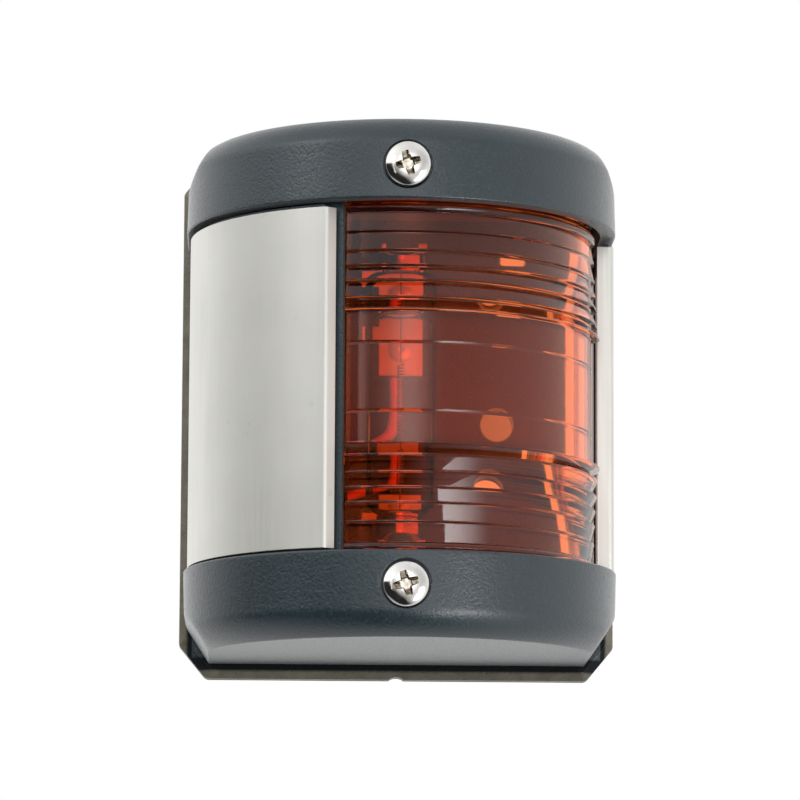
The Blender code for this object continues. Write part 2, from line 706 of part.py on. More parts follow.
def contact_rivet(name, side):
    """Rivet that holds a contact's foot to its pad on the base."""
    rise = CONTACT_THICKNESS + GAP
    profile = [(RIVET_SHANK_RADIUS, -RIVET_DEPTH), (RIVET_SHANK_RADIUS, rise), (RIVET_HEAD_RADIUS, rise)]
    for width, height in RIVET_DOME:
        profile.append((RIVET_HEAD_RADIUS * width, rise + RIVET_HEAD_HEIGHT * height))
    rivet = add_object(name, turned(profile, 16), "nickel")
    rivet.matrix_world = stand(CONTACT_FOOT_Y, side * RIVET_Z, CONTACT_X)


# Cable entry --------------------------------------------------------------------------------


def cable_grommet():
    """Rubber grommet in the plate with a hole for each supply wire."""
    flange = PLATE_FRONT_Y - GAP
    body = rod_y(GROMMET_RADIUS, -GAP, flange - GAP, GROMMET_X, GROMMET_Z)
    grommet = add_object("cable_grommet", body, "rubber")
    front = flange - GROMMET_FLANGE_THICKNESS
    join(grommet, rod_y(GROMMET_FLANGE_RADIUS, flange, front, GROMMET_X, GROMMET_Z))
    for side in (1, -1):
        z = GROMMET_Z + side * WIRE_SPACING
        cut(grommet, rod_y(WIRE_RADIUS + GAP, GASKET_THICKNESS, 2 * AXIS_Y, GROMMET_X, z, 16))


def supply_wire(name, bends, side, finish):
    """Supply wire from a contact through its bends to the grommet and out at the mounting face."""
    corners = [Vector((x, WIRE_Y, z)) for x, z in bends]
    for y in (WIRE_EXIT_Y, PLATE_FRONT_Y, -GAP):
        corners.append(Vector((GROMMET_X, y, GROMMET_Z + side * WIRE_SPACING)))
    add_object(name, tube(smooth_path(corners, 5), WIRE_RADIUS, 8), finish)


def build():
    """Clear the scene and make every part."""
    for obj in list(bpy.data.objects):
        bpy.data.objects.remove(obj, do_unlink=True)
    mount_gasket()
    base_housing()
    left_shield()
    right_shield()
    lens()
    bulb_glass()
    bulb_filament()
    cable_grommet()
    supply_wire("supply_wire_positive", POSITIVE_BENDS, 1, "wire_red")
    supply_wire("supply_wire_negative", NEGATIVE_BENDS, -1, "wire_black")
    for word, side in (("upper", 1), ("lower", -1)):
        end_cap(word + "_cap", side)
        cover_screw(word + "_cover_screw", side * SCREW_Z)
        screw_washer(word + "_screw_washer", side * SCREW_Z)
        lens_seal(word + "_lens_seal", side)
        bulb_cap("bulb_" + word + "_cap", side)
        contact(word + "_contact", side)
        contact_rivet(word + "_contact_rivet", side)


build()
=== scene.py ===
"""Looks of the side navigation light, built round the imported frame.

Every piece is in metres in the row frame: +Z up, +Y into the wall, light towards -Y and +X.
Plan angles are measured about the lamp axis from the front (-Y), positive towards +X.
"""

import math

import bmesh
import bpy
from mathutils import Matrix, Vector


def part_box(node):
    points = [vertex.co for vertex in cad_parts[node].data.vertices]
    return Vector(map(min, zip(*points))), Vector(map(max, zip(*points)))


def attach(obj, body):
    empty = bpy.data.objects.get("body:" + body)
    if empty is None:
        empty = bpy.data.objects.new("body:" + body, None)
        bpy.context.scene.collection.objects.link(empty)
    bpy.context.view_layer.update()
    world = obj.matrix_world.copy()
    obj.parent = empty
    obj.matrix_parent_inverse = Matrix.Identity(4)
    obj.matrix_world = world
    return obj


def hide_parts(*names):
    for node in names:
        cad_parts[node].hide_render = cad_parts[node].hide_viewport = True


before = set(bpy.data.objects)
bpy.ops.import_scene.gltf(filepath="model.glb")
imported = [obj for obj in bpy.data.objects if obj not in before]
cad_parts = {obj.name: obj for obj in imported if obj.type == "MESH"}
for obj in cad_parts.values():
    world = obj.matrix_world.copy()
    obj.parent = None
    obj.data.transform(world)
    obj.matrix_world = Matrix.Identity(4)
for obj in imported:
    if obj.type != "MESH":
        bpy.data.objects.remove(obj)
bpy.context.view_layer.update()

MM = 0.001

# Sizes read from the frame ------

cap_low, cap_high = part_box("upper_cap")
base_low, base_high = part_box("base_housing")
gasket_low, gasket_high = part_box("mount_gasket")
lens_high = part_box("lens")[1]
shield_low, shield_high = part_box("left_shield")
angle_low, angle_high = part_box("right_shield")
screw_low, screw_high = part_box("upper_cover_screw")
washer_low, washer_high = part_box("upper_screw_washer")
glass_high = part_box("bulb_glass")[1]
tip_low, tip_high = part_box("bulb_upper_cap")
contact_low, contact_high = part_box("upper_contact")
rivet_low, rivet_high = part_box("upper_contact_rivet")
seal_low, seal_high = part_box("upper_lens_seal")
grommet_low, grommet_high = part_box("cable_grommet")

CAP_RADIUS = cap_high.x
AXIS_Y = cap_low.y + CAP_RADIUS
CAP_FRONT_Y = cap_low.y
CAP_BACK_Y = cap_high.y
CAP_INNER_Z = cap_low.z
CAP_OUTER_Z = cap_high.z
PLATE_BACK_Y = base_high.y
PLATE_FRONT_Y = CAP_BACK_Y + 0.3 * MM
POST_FRONT_Y = base_low.y
SCREW_Z = (screw_low.z + screw_high.z) / 2
SCREW_TIP_Y = screw_high.y
SCREW_CROWN_Y = screw_low.y
SEAT_Y = washer_high.y + 0.2 * MM
HEAD_BACK_Y = washer_low.y - 0.2 * MM
CONTACT_X = (rivet_low.x + rivet_high.x) / 2
FOOT_Y = contact_high.y
RIVET_Z = (rivet_low.z + rivet_high.z) / 2
GROMMET_X = (grommet_low.x + grommet_high.x) / 2
GROMMET_Z = (grommet_low.z + grommet_high.z) / 2
SHIELD_RADIUS = -shield_low.x
LENS_END_Z = lens_high.z
LENS_BACK_Y = lens_high.y

# End caps
CAP_WALL = 2.2 * MM
CAP_DRAFT = 0.22 * MM
CAP_SHOULDER_Z = 34.3 * MM
CAP_CROWN_INSET = 3.4 * MM
CAP_CORNER_X = 4.5 * MM
CAP_CORNER_Z = 6.9 * MM
CAP_CORNER_BULGE = 0.6 * MM
EDGE = 0.28 * MM
BOSS_RADIUS = 4.6 * MM
SEAT_RADIUS = 3.6 * MM
BORE_RADIUS = 2.05 * MM

# Lens
LENS_INNER_RADIUS = 26.9 * MM
LENS_ROOT_RADIUS = 28.7 * MM
LENS_START = -17.6
LENS_RIB_END = 88.0
LENS_BEAD_Z = 24.8 * MM
LENS_BEAD_RADIUS = 29.3 * MM
LENS_LINE_Z = 5.0 * MM
# Height and tip radius of each prism rib, from the lens end towards mid-height, in mm
LENS_RIBS = ((21.3, 29.1), (18.5, 29.2), (16.3, 29.3), (14.1, 29.5), (11.6, 29.6), (9.8, 29.9))
# Points of a rib in mm, out from its tip or from the lens's surface, and up from its height
RIB_TIP = ((-0.07, 0.16), (-0.01, 0.06), (-0.01, -0.01), (-0.08, -0.07))
RIB_FOOT = ((0.08, -0.17), (0.01, -0.22), (0.0, -0.34), (0.0, -0.44))

# Base
SHELF_Z = 27.8 * MM
SHELF_THICKNESS = 1.6 * MM
SHELF_RADIUS = 29.0 * MM
WALL_HALF_HEIGHT = 25.1 * MM
WALL_INNER_RADIUS = 28.4 * MM
WALL_STEP_RADIUS = 29.4 * MM
WALL_OUTER_RADIUS = 30.9 * MM
WALL_FRONT = -22.8
WALL_LIP_END = -18.3
POST_HALF_WIDTH = 3.4 * MM
PLATE_CHAMFER_X = 4.1 * MM
PLATE_CHAMFER_Z = 5.0 * MM
PLATE_BEVEL = 1.1 * MM
MOUNT_HOLE_X = 15.5 * MM
MOUNT_HOLE_Z = -0.8 * MM
MOUNT_HOLE_RADIUS = 2.6 * MM
# Openings through the plate, in mm: left, right, lowest, highest, corner radius
SIDE_SLOT = (27.2, 30.1, -23.0, 23.0, 1.2)
VENT_SLOT = (15.6, 19.6, 16.3, 19.4, 0.7)

RIGHT_WALL_X = (30.4 * MM, 31.4 * MM)
RIGHT_WALL_FRONT_Y = -16.8 * MM
PAD_HALF_WIDTH = 4.2 * MM
PAD_Z = (6.0 * MM, 14.2 * MM)
SPINE_HALF_WIDTH = 1.0 * MM
SPINE_FRONT_Y = -5.4 * MM
CABLE_HOLE_RADIUS = 3.6 * MM
DRAIN_NOTCH_RADIUS = 1.9 * MM
DRAIN_NOTCH_Z = base_low.z - 1.5 * MM
RIVET_HOLE_RADIUS = 1.3 * MM
RIVET_HOLE_DEPTH = 3.1 * MM
POST_BORE_DEPTH = 16.0 * MM

# How far shapes that are joined run into each other
SINK = 0.3 * MM

# Shields
SHEET = 0.5 * MM
SHIELD_FOLD = -21.6
SHIELD_FLANGE_RADIUS = 30.2 * MM
SHIELD_FLANGE_END = -19.8

# Contacts
CONTACT_THICKNESS = 0.6 * MM
CONTACT_ARM_Z = 19.4 * MM
CONTACT_REACH_Y = -22.4 * MM
CONTACT_LEAD_IN = 1.2 * MM
CONTACT_SLOT = 2.4 * MM
CONTACT_TAB_Z = (11.3 * MM, 13.5 * MM)

# Bulb ends: points in mm, out from the widest radius and up from the rim or the cone
BULB_RIM = ((-0.5, 0.1), (-0.35, 0.0), (-0.1, 0.0), (0.0, 0.12))
BULB_RIM += ((0.0, 0.6), (-0.15, 0.8), (-0.15, 1.1), (0.0, 1.3))
BULB_CONE = ((0.0, -0.4), (-0.12, -0.1), (-0.45, 0.15))

# Screws
PITCH = 1.3 * MM
SCREW_CORE_RADIUS = 1.28 * MM
SCREW_RIDGE = 0.46 * MM
SCREW_HEAD_RADIUS = 3.33 * MM
RECESS_TURN = 16.0
# Share of the head's height, arm length and half width in mm, down to up
RECESS_LEVELS = ((0.15, 0.75, 0.34), (0.4, 1.35, 0.40), (1.0, 1.9, 0.48), (1.5, 2.05, 0.54))


# Mesh tools ---------------------


def polar(radius, degrees):
    """Plan point at a radius from the lamp axis, at an angle from the front."""
    angle = math.radians(degrees)
    return (radius * math.sin(angle), AXIS_Y - radius * math.cos(angle))


def arc(radius, start, end, steps):
    """Plan points along an arc about the lamp axis."""
    return [polar(radius, start + (end - start) * i / steps) for i in range(steps + 1)]


def circle(radius, segments, centre=(0.0, 0.0)):
    """Closed circle of points in a plane."""
    turns = [2 * math.pi * i / segments for i in range(segments)]
    return [(centre[0] + radius * math.cos(t), centre[1] + radius * math.sin(t)) for t in turns]


def turn_points(centre, radius, start, end, steps):
    """Points of a small arc in any plane, angles in degrees."""
    points = []
    for i in range(steps + 1):
        t = math.radians(start + (end - start) * i / steps)
        points.append((centre[0] + radius * math.cos(t), centre[1] + radius * math.sin(t)))
    return points


def loft(rings, closed=False):
    """Solid through rings of points, capped at both ends or joined end to end."""
    bm = bmesh.new()
    rows = [[bm.verts.new(point) for point in ring] for ring in rings]
    pairs = list(zip(rows, rows[1:]))
    if closed:
        pairs.append((rows[-1], rows[0]))
    count = len(rows[0])
    for low, high in pairs:
        for i in range(count):
            j = (i + 1) % count
            bm.faces.new((low[i], low[j], high[j], high[i]))
    if not closed:
        bm.faces.new(rows[0])
        bm.faces.new(rows[-1])
    bmesh.ops.recalc_face_normals(bm, faces=bm.faces)
    return bm


def ring_at(axis, outline, level):
    """Outline set at a level along an axis; its points hold the two other coordinates in order."""
    at = "xyz".index(axis)
    return [Vector((*point[:at], level, *point[at:])) for point in outline]


def prism(axis, outline, low, high):
    """Outline extruded along an axis."""
    return loft([ring_at(axis, outline, level) for level in (low, high)])


def box(x, y, z):
    """Block between pairs of coordinates."""
    return prism("z", [(x[0], y[0]), (x[1], y[0]), (x[1], y[1]), (x[0], y[1])], z[0], z[1])


def rod_y(radius, back, front, x, z, segments=48):
    """Round rod along Y."""
    return prism("y", circle(radius, segments, (x, z)), back, front)


def turned(profile, segments, closed=False):
    """Turned solid about local Z from (radius, height) points."""
    return loft([ring_at("z", circle(r, segments), h) for r, h in profile], closed)


def stand(x, y, z):
    """Placement with local +Z towards the front."""
    return Matrix.Translation((x, y, z)) @ Matrix.Rotation(math.radians(90.0), 4, "X")


def moved(bm, matrix):
    """The bmesh, transformed."""
    bmesh.ops.transform(bm, verts=bm.verts, matrix=matrix)
    return bm


def sweep(path, radius, sides):
    """Round wire along a path of points."""
    side = Vector((1.0, 0.0, 0.0))
    rings = []
    for i, point in enumerate(path):
        along = (path[min(i + 1, len(path) - 1)] - path[max(i - 1, 0)]).normalized()
        side = (side - along * side.dot(along)).normalized()
        other = along.cross(side)
        rings.append([point + side * x + other * y for x, y in circle(radius, sides)])
    return loft(rings)


def smooth_path(corners, steps):
    """Catmull-Rom curve through the corner points."""
    ends = [2 * corners[0] - corners[1]] + list(corners) + [2 * corners[-1] - corners[-2]]
    path = []
    for a, b, c, d in zip(ends, ends[1:], ends[2:], ends[3:]):
        for i in range(steps):
            t = i / steps
            bow = (2 * a - 5 * b + 4 * c - d) * t**2 + (3 * b - a - 3 * c + d) * t**3
            path.append(0.5 * (2 * b + (c - a) * t + bow))
    path.append(corners[-1])
    return path


def place_new(name, data):
    """A new object in the scene."""
    obj = bpy.data.objects.new(name, data)
    bpy.context.scene.collection.objects.link(obj)
    return obj


def link_mesh(name, bm):
    """A scene object holding the bmesh."""
    bmesh.ops.recalc_face_normals(bm, faces=bm.faces)
    mesh = bpy.data.meshes.new(name)
    bm.to_mesh(mesh)
    bm.free()
    return place_new(name, mesh)


def apply_modifiers(obj):
    """Replace the object's mesh by its evaluated mesh."""
    bpy.context.view_layer.update()
    graph = bpy.context.evaluated_depsgraph_get()
    mesh = bpy.data.meshes.new_from_object(obj.evaluated_get(graph))
    old = obj.data
    obj.modifiers.clear()
    obj.data = mesh
    bpy.data.meshes.remove(old)


def combine(obj, operation, bm):
    """Boolean of obj with a shape that isn't kept."""
    helper = link_mesh("helper", bm)
    modifier = obj.modifiers.new("combine", "BOOLEAN")
    modifier.operation = operation
    modifier.object = helper
    modifier.solver = "EXACT"
    apply_modifiers(obj)
    mesh = helper.data
    bpy.data.objects.remove(helper)
    bpy.data.meshes.remove(mesh)


def join(obj, bm):
    combine(obj, "UNION", bm)


def cut(obj, bm):
    combine(obj, "DIFFERENCE", bm)


def soften(obj, width):
    """Rounded edges, applied to the mesh."""
    modifier = obj.modifiers.new("soften", "BEVEL")
    modifier.width = width
    modifier.segments = 2
    modifier.limit_method = "ANGLE"
    modifier.angle_limit = math.radians(50.0)
    modifier.use_clamp_overlap = True
    apply_modifiers(obj)


def dress(obj, body, material, node, smooth=35.0):
    """Shading, finish and place in the frame of a finished piece."""
    obj.data.shade_smooth()
    obj.data.set_sharp_from_angle(angle=math.radians(smooth))
    obj.modifiers.new("even_normals", "WEIGHTED_NORMAL").keep_sharp = True
    obj.data.materials.clear()
    obj.data.materials.append(material)
    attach(obj, body)
    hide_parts(node)
    return obj


# Materials ----------------------


class Nodes:
    """Helpers that add nodes to one node tree."""

    def __init__(self, tree):
        self.tree = tree

    def node(self, kind, **inputs):
        """A new node with its inputs set by name."""
        made = self.tree.nodes.new(kind)
        for name, value in inputs.items():
            made.inputs[name.replace("_", " ")].default_value = value
        return made

    def link(self, source, target):
        """Feed an input from a socket, a value or a colour."""
        if isinstance(source, float):
            target.default_value = source
        elif isinstance(source, tuple):
            target.default_value = (*source, 1.0)
        else:
            self.tree.links.new(source, target)

    def split(self, vector):
        """The three parts of a vector."""
        made = self.node("ShaderNodeSeparateXYZ")
        self.link(vector, made.inputs[0])
        return made.outputs

    def maths(self, operation, *values):
        """Result of a maths operation on sockets or plain values."""
        made = self.node("ShaderNodeMath")
        made.operation = operation
        for value, socket in zip(values, made.inputs):
            self.link(value, socket)
        return made.outputs[0]

    def spread(self, value, low, high, start=0.3, end=0.7, smooth=False):
        """Map a value from start to end onto low to high."""
        made = self.node("ShaderNodeMapRange", From_Min=start, From_Max=end, To_Min=low, To_Max=high)
        if smooth:
            made.interpolation_type = "SMOOTHSTEP"
        self.link(value, made.inputs["Value"])
        return made.outputs["Result"]

    def shader_mix(self, factor, first, second):
        """Blend of two shaders by a value."""
        mixer = self.node("ShaderNodeMixShader")
        for source, target in zip((factor, first, second), mixer.inputs):
            self.link(source, target)
        return mixer.outputs[0]


class Finish(Nodes):
    """A node material with one Principled shader, built up step by step."""

    def __init__(self, name, metallic=0.0):
        self.material = bpy.data.materials.new(name)
        self.material.use_nodes = True
        super().__init__(self.material.node_tree)
        self.shader = self.tree.nodes["Principled BSDF"]
        self.shader.inputs["Metallic"].default_value = metallic
        self.place = self.node("ShaderNodeTexCoord").outputs["Object"]

    def stretched(self, scale):
        """Texture coordinates scaled differently along each axis."""
        mapping = self.node("ShaderNodeMapping", Scale=scale)
        self.link(self.place, mapping.inputs["Vector"])
        return mapping.outputs["Vector"]

    def noise(self, scale, detail=3.0, roughness=0.55, place=None):
        """Noise value at a size given as features per metre."""
        made = self.node("ShaderNodeTexNoise", Scale=scale, Detail=detail, Roughness=roughness)
        self.link(place or self.place, made.inputs["Vector"])
        return made.outputs["Fac"]

    def mix(self, factor, first, second):
        """Blend of two colours by a value."""
        made = self.node("ShaderNodeMix")
        made.data_type = "RGBA"
        for source, index in ((factor, 0), (first, 6), (second, 7)):
            self.link(source, made.inputs[index])
        return made.outputs[2]

    def mottle(self, value, first, second):
        """Colour that wavers between two with a noise value."""
        return self.mix(self.spread(value, 0.0, 1.0), first, second)

    def colour(self, source):
        self.link(source, self.shader.inputs["Base Color"])

    def roughness(self, source):
        self.link(source, self.shader.inputs["Roughness"])

    def bump(self, height, strength, depth, under=None):
        """Bump from a height value, stacked on an earlier one."""
        made = self.node("ShaderNodeBump", Strength=strength, Distance=depth)
        self.link(height, made.inputs["Height"])
        if under:
            self.link(under, made.inputs["Normal"])
        self.link(made.outputs["Normal"], self.shader.inputs["Normal"])
        return made.outputs["Normal"]

    def axes(self):
        """Distances of the shaded point from the frame's three planes."""
        return [self.maths("ABSOLUTE", part) for part in self.split(self.place)]

    def ramp(self, value, start, end):
        """0 below start, 1 above end."""
        return self.spread(value, 0.0, 1.0, start, end)

    def beyond(self, sizes, limits):
        """0 to 1 across the limit, in mm, of either of two sizes."""
        ramps = [self.ramp(size, low * MM, high * MM) for size, (low, high) in zip(sizes, limits)]
        return self.maths("MAXIMUM", *ramps)

    def clear(self, colour):
        """Transparent shader of a colour."""
        return self.node("ShaderNodeBsdfTransparent", Color=(*colour, 1.0)).outputs[0]

    def surface(self, shader):
        self.link(shader, self.tree.nodes["Material Output"].inputs["Surface"])


def moulded_plastic(name="moulded_plastic"):
    """Dark blue-grey ABS with the grain of a spark-eroded mould."""
    finish = Finish(name)
    tone = finish.noise(90.0, 2.0)
    grain = finish.noise(2300.0, 2.0, 0.6)
    lumps = finish.noise(2400.0, 2.0, 0.5)
    cloud = finish.mottle(tone, (0.007, 0.0145, 0.0185), (0.010, 0.019, 0.0235))
    speck = finish.mix(finish.spread(grain, 0.0, 0.35, 0.55, 0.75), cloud, (0.030, 0.040, 0.045))
    finish.colour(speck)
    finish.roughness(finish.spread(grain, 0.26, 0.40))
    coarse = finish.bump(lumps, 0.6, 0.055 * MM)
    finish.bump(grain, 0.7, 0.06 * MM, coarse)
    finish.shader.inputs["Specular IOR Level"].default_value = 0.7
    finish.shader.inputs["Sheen Weight"].default_value = 0.17
    finish.shader.inputs["Sheen Roughness"].default_value = 0.3
    finish.speck = speck
    return finish


def base_plastic():
    """The same moulding, with a painted highlight of dull olive grey along the plate's bevel and painted
    shade, near black, on the plate's face beside the caps.
    """
    finish = moulded_plastic("base_plastic")
    x, y, z = finish.axes()
    edge = finish.beyond((x, z), ((31.7, 32.1), (38.6, 39.0)))
    shaded = finish.beyond((x, z), ((31.0, 31.2), (36.6, 37.0)))
    at_plate = finish.spread(y, 1.0, 0.0, -PLATE_FRONT_Y, -PLATE_FRONT_Y + 0.2 * MM)
    # Painted highlight: the plate's bevel is made a lighter olive grey, standing in for the light it
    # catches.
    painted_highlight_mask = finish.maths("MULTIPLY", edge, at_plate)
    # Painted shade: the plate's face beside the caps is made near black, standing in for the shade under
    # the caps.
    painted_shade_mask = finish.maths("MULTIPLY", finish.maths("SUBTRACT", shaded, edge), at_plate)
    painted_bevel_highlight = finish.mottle(finish.noise(500.0), (0.070, 0.060, 0.040), (0.115, 0.102, 0.073))
    painted_shade = finish.mix(painted_shade_mask, finish.speck, (0.004, 0.006, 0.007))
    finish.colour(finish.mix(painted_highlight_mask, painted_shade, painted_bevel_highlight))
    # Lower specular on the painted shade beside the caps.
    finish.link(finish.spread(painted_shade_mask, 0.7, 0.1, 0.0, 1.0), finish.shader.inputs["Specular IOR Level"])
    return finish.material


def lens_plastic():
    """Deep red clear moulding, letting lamps through so that its inside is lit."""
    finish = Finish("lens_plastic")
    shader = finish.shader
    haze = finish.ramp(finish.axes()[2], 8.0 * MM, 10.0 * MM)
    finish.link(finish.spread(haze, 0.988, 1.0, 0.0, 1.0), shader.inputs["Transmission Weight"])
    shader.inputs["IOR"].default_value = 1.49
    flow = finish.noise(60.0, 2.0)
    finish.colour(finish.mottle(flow, (0.95, 0.18, 0.042), (0.97, 0.20, 0.049)))
    finish.roughness(finish.spread(finish.noise(700.0, 3.0), 0.015, 0.06))
    finish.bump(finish.noise(240.0, 2.0), 0.05, 0.05 * MM)
    is_shadow = finish.node("ShaderNodeLightPath").outputs["Is Shadow Ray"]
    finish.surface(finish.shader_mix(is_shadow, shader.outputs[0], finish.clear((1.0, 0.62, 0.30))))
    return finish.material


def satin_stainless():
    """Satin stainless sheet, with fine upright brushing, faint clouds and small scuffs."""
    finish = Finish("satin_stainless", 1.0)
    brush = finish.noise(1.0, 3.0, 0.6, finish.stretched((5200.0, 5200.0, 60.0)))
    cloud = finish.noise(70.0, 3.0)
    scuff = finish.noise(420.0, 4.0, 0.7)
    tone = finish.mottle(cloud, (0.645, 0.64, 0.60), (0.695, 0.69, 0.65))
    marks = finish.spread(scuff, 0.0, 0.5, 0.66, 0.78)
    finish.colour(finish.mix(marks, tone, (0.42, 0.41, 0.40)))
    finish.roughness(finish.spread(brush, 0.36, 0.50))
    finish.bump(brush, 0.10, 0.010 * MM)
    return finish.material


def bright_nickel(name="bright_nickel"):
    """Bright plated steel with a little polish wear."""
    finish = Finish(name, 1.0)
    cloud = finish.noise(500.0, 3.0)
    finish.polish = finish.mottle(cloud, (0.72, 0.70, 0.66), (0.86, 0.85, 0.83))
    finish.colour(finish.polish)
    finish.roughness(finish.spread(finish.noise(1500.0, 3.0), 0.05, 0.16))
    finish.bump(finish.noise(1100.0, 3.0), 0.35, 0.05 * MM)
    return finish


def screw_nickel():
    """Bright plating, with painted brown shade inside the cross recess."""
    finish = bright_nickel("screw_nickel")
    x, y, z = finish.axes()
    aside = finish.maths("SUBTRACT", z, SCREW_Z)
    squares = [finish.maths("POWER", length, 2.0) for length in (x, aside)]
    radius = finish.maths("SQRT", finish.maths("ADD", *squares))
    inside = finish.spread(radius, 1.0, 0.0, 2.3 * MM, 2.5 * MM)
    deep = finish.spread(y, 1.0, 0.0, -SCREW_CROWN_Y - 0.7 * MM, -SCREW_CROWN_Y - 0.25 * MM)
    patchy = finish.spread(finish.noise(1600.0, 3.0), 0.35, 1.0)
    # Painted shade: the deep middle of the cross recess is made brown, standing in for its dark inner
    # reflections.
    painted_recess_shade = finish.maths("MULTIPLY", finish.maths("MULTIPLY", inside, deep), patchy)
    finish.colour(finish.mix(painted_recess_shade, finish.polish, (0.20, 0.155, 0.10)))
    return finish.material


def sprung_brass():
    """Tinned brass strip, a little dull, with rolling marks along it."""
    finish = Finish("sprung_brass", 0.55)
    rolled = finish.noise(1.0, 3.0, 0.6, finish.stretched((4000.0, 90.0, 90.0)))
    cloud = finish.noise(350.0, 3.0)
    finish.colour(finish.mottle(cloud, (0.80, 0.68, 0.42), (0.93, 0.86, 0.68)))
    finish.roughness(finish.spread(rolled, 0.34, 0.52))
    finish.bump(rolled, 0.12, 0.015 * MM)
    return finish.material


def soft_rubber():
    """Black rubber with a fine matt skin."""
    finish = Finish("soft_rubber")
    grain = finish.noise(1800.0, 3.0, 0.6)
    finish.colour(finish.mottle(grain, (0.015, 0.015, 0.016), (0.030, 0.030, 0.031)))
    finish.roughness(finish.spread(grain, 0.6, 0.8))
    finish.bump(grain, 0.3, 0.04 * MM)
    return finish.material


def closed_foam():
    """Dark closed-cell foam with its cut cells showing."""
    finish = Finish("closed_foam")
    cells = finish.node("ShaderNodeTexVoronoi", Scale=1600.0)
    finish.link(finish.place, cells.inputs["Vector"])
    cell = cells.outputs["Distance"]
    skin = finish.ramp(cell, 0.0, 0.6)
    finish.colour(finish.mix(skin, (0.016, 0.016, 0.017), (0.055, 0.056, 0.056)))
    finish.roughness(finish.spread(finish.noise(700.0, 2.0), 0.78, 0.92))
    finish.bump(cell, 0.45, 0.12 * MM)
    return finish.material


def bulb_clear_glass():
    """Thin clear glass: see-through, with reflections that grow towards its outline."""
    finish = Finish("bulb_clear_glass", 1.0)
    wave = finish.noise(180.0, 1.0)
    finish.colour(finish.mottle(wave, (0.88, 0.92, 0.91), (0.95, 0.97, 0.96)))
    finish.roughness(finish.spread(finish.noise(600.0, 2.0), 0.01, 0.06))
    finish.bump(wave, 0.06, 0.05 * MM)
    outline = finish.node("ShaderNodeLayerWeight", Blend=0.12).outputs["Fresnel"]
    see_through = finish.clear((0.97, 0.985, 0.98))
    finish.surface(finish.shader_mix(outline, see_through, finish.shader.outputs[0]))
    return finish.material


def grained(name, scale, painted_shade, light, metallic=0.0):
    """Finish with one fine grain in colour and roughness, and in the surface if not metal."""
    finish = Finish(name, metallic)
    grain = finish.noise(scale, 2.0)
    finish.colour(finish.mix(grain, painted_shade, light))
    finish.roughness(finish.spread(grain, 0.32, 0.5))
    if not metallic:
        finish.bump(grain, 0.12, 0.02 * MM)
    return finish.material


def cable_skin(name, colour):
    """Soft PVC insulation."""
    return grained(name, 1200.0, tuple(0.7 * c for c in colour), colour)


# End caps -----------------------


def rounded(points, radius, steps=5, closed=True):
    """Outline or open path with its corners rounded; near-straight corners are kept."""
    result = []
    count = len(points)
    for i, point in enumerate(points):
        here = Vector(point)
        before = Vector(points[i - 1]) - here
        after = Vector(points[(i + 1) % count]) - here
        is_end = not closed and i in (0, count - 1)
        if is_end or before.angle(after) > math.radians(172.0):
            result.append(tuple(here))
            continue
        reach = radius / math.tan(before.angle(after) / 2)
        reach = min(reach, 0.45 * before.length, 0.45 * after.length)
        start = here + before.normalized() * reach
        end = here + after.normalized() * reach
        for k in range(steps + 1):
            t = k / steps
            result.append(tuple(start * (1 - t) ** 2 + here * 2 * t * (1 - t) + end * t**2))
    return result


def strip(path, thickness):
    """Closed outline of a sheet whose outer side follows the path, thickness to its left."""
    inner = []
    for i, point in enumerate(path):
        here = Vector(point)
        into = (here - Vector(path[max(i - 1, 0)])).normalized()
        out = (Vector(path[min(i + 1, len(path) - 1)]) - here).normalized()
        along = (into + out).normalized()
        lean = max(along.dot(out if i == 0 else into), 0.3)
        inner.append(tuple(here + Vector((-along.y, along.x)) * thickness / lean))
    return list(path) + inner[::-1]


def d_outline(radius, back_y, steps):
    """Half circle at the front with straight sides back to back_y."""
    return [(-radius, back_y)] + arc(radius, -90.0, 90.0, steps) + [(radius, back_y)]


def soft_min(a, b, blend):
    """Smaller of two lengths, with a rounded change from one to the other."""
    share = min(max(0.5 + 0.5 * (b - a) / blend, 0.0), 1.0)
    return b + (a - b) * share - blend * share * (1 - share)


def corner_limit(height, depth):
    """Half width left by the sloping slice off a cap's outer corners."""
    slope = math.hypot(CAP_CORNER_X, CAP_CORNER_Z)
    normal_x = CAP_CORNER_Z / slope
    normal_z = CAP_CORNER_X / slope
    above = height - (CAP_OUTER_Z - CAP_CORNER_Z)
    return CAP_RADIUS + (CAP_CORNER_BULGE - depth - normal_z * above) / normal_x


def cap_profile():
    """(inset, height) down a cap from its inner rim over the shoulder to the end face."""
    painted_highlight_mask = turn_points((EDGE, CAP_INNER_Z + EDGE), EDGE, 270.0, 180.0, 4)
    wall = []
    wall_start, wall_steps = CAP_INNER_Z + EDGE, 14
    for i in range(1, wall_steps):
        share = i / wall_steps
        wall.append((CAP_DRAFT * share, wall_start + (CAP_SHOULDER_Z - wall_start) * share))
    start, end = math.radians(12.0), math.radians(62.0)
    shoulder = []
    for i in range(13):
        t = start + (end - start) * i / 12
        rise = (math.sin(t) - math.sin(start)) / (math.sin(end) - math.sin(start))
        drop = (math.cos(start) - math.cos(t)) / (math.cos(start) - math.cos(end))
        inset = CAP_DRAFT + (CAP_CROWN_INSET - CAP_DRAFT) * drop
        shoulder.append((inset, CAP_SHOULDER_Z + (CAP_OUTER_Z - CAP_SHOULDER_Z) * rise))
    crown = [(CAP_CROWN_INSET + 3 * MM, CAP_OUTER_Z), (CAP_CROWN_INSET + 9 * MM, CAP_OUTER_Z)]
    return painted_highlight_mask + wall + rounded(shoulder + crown, 1.4 * MM, 4, closed=False)


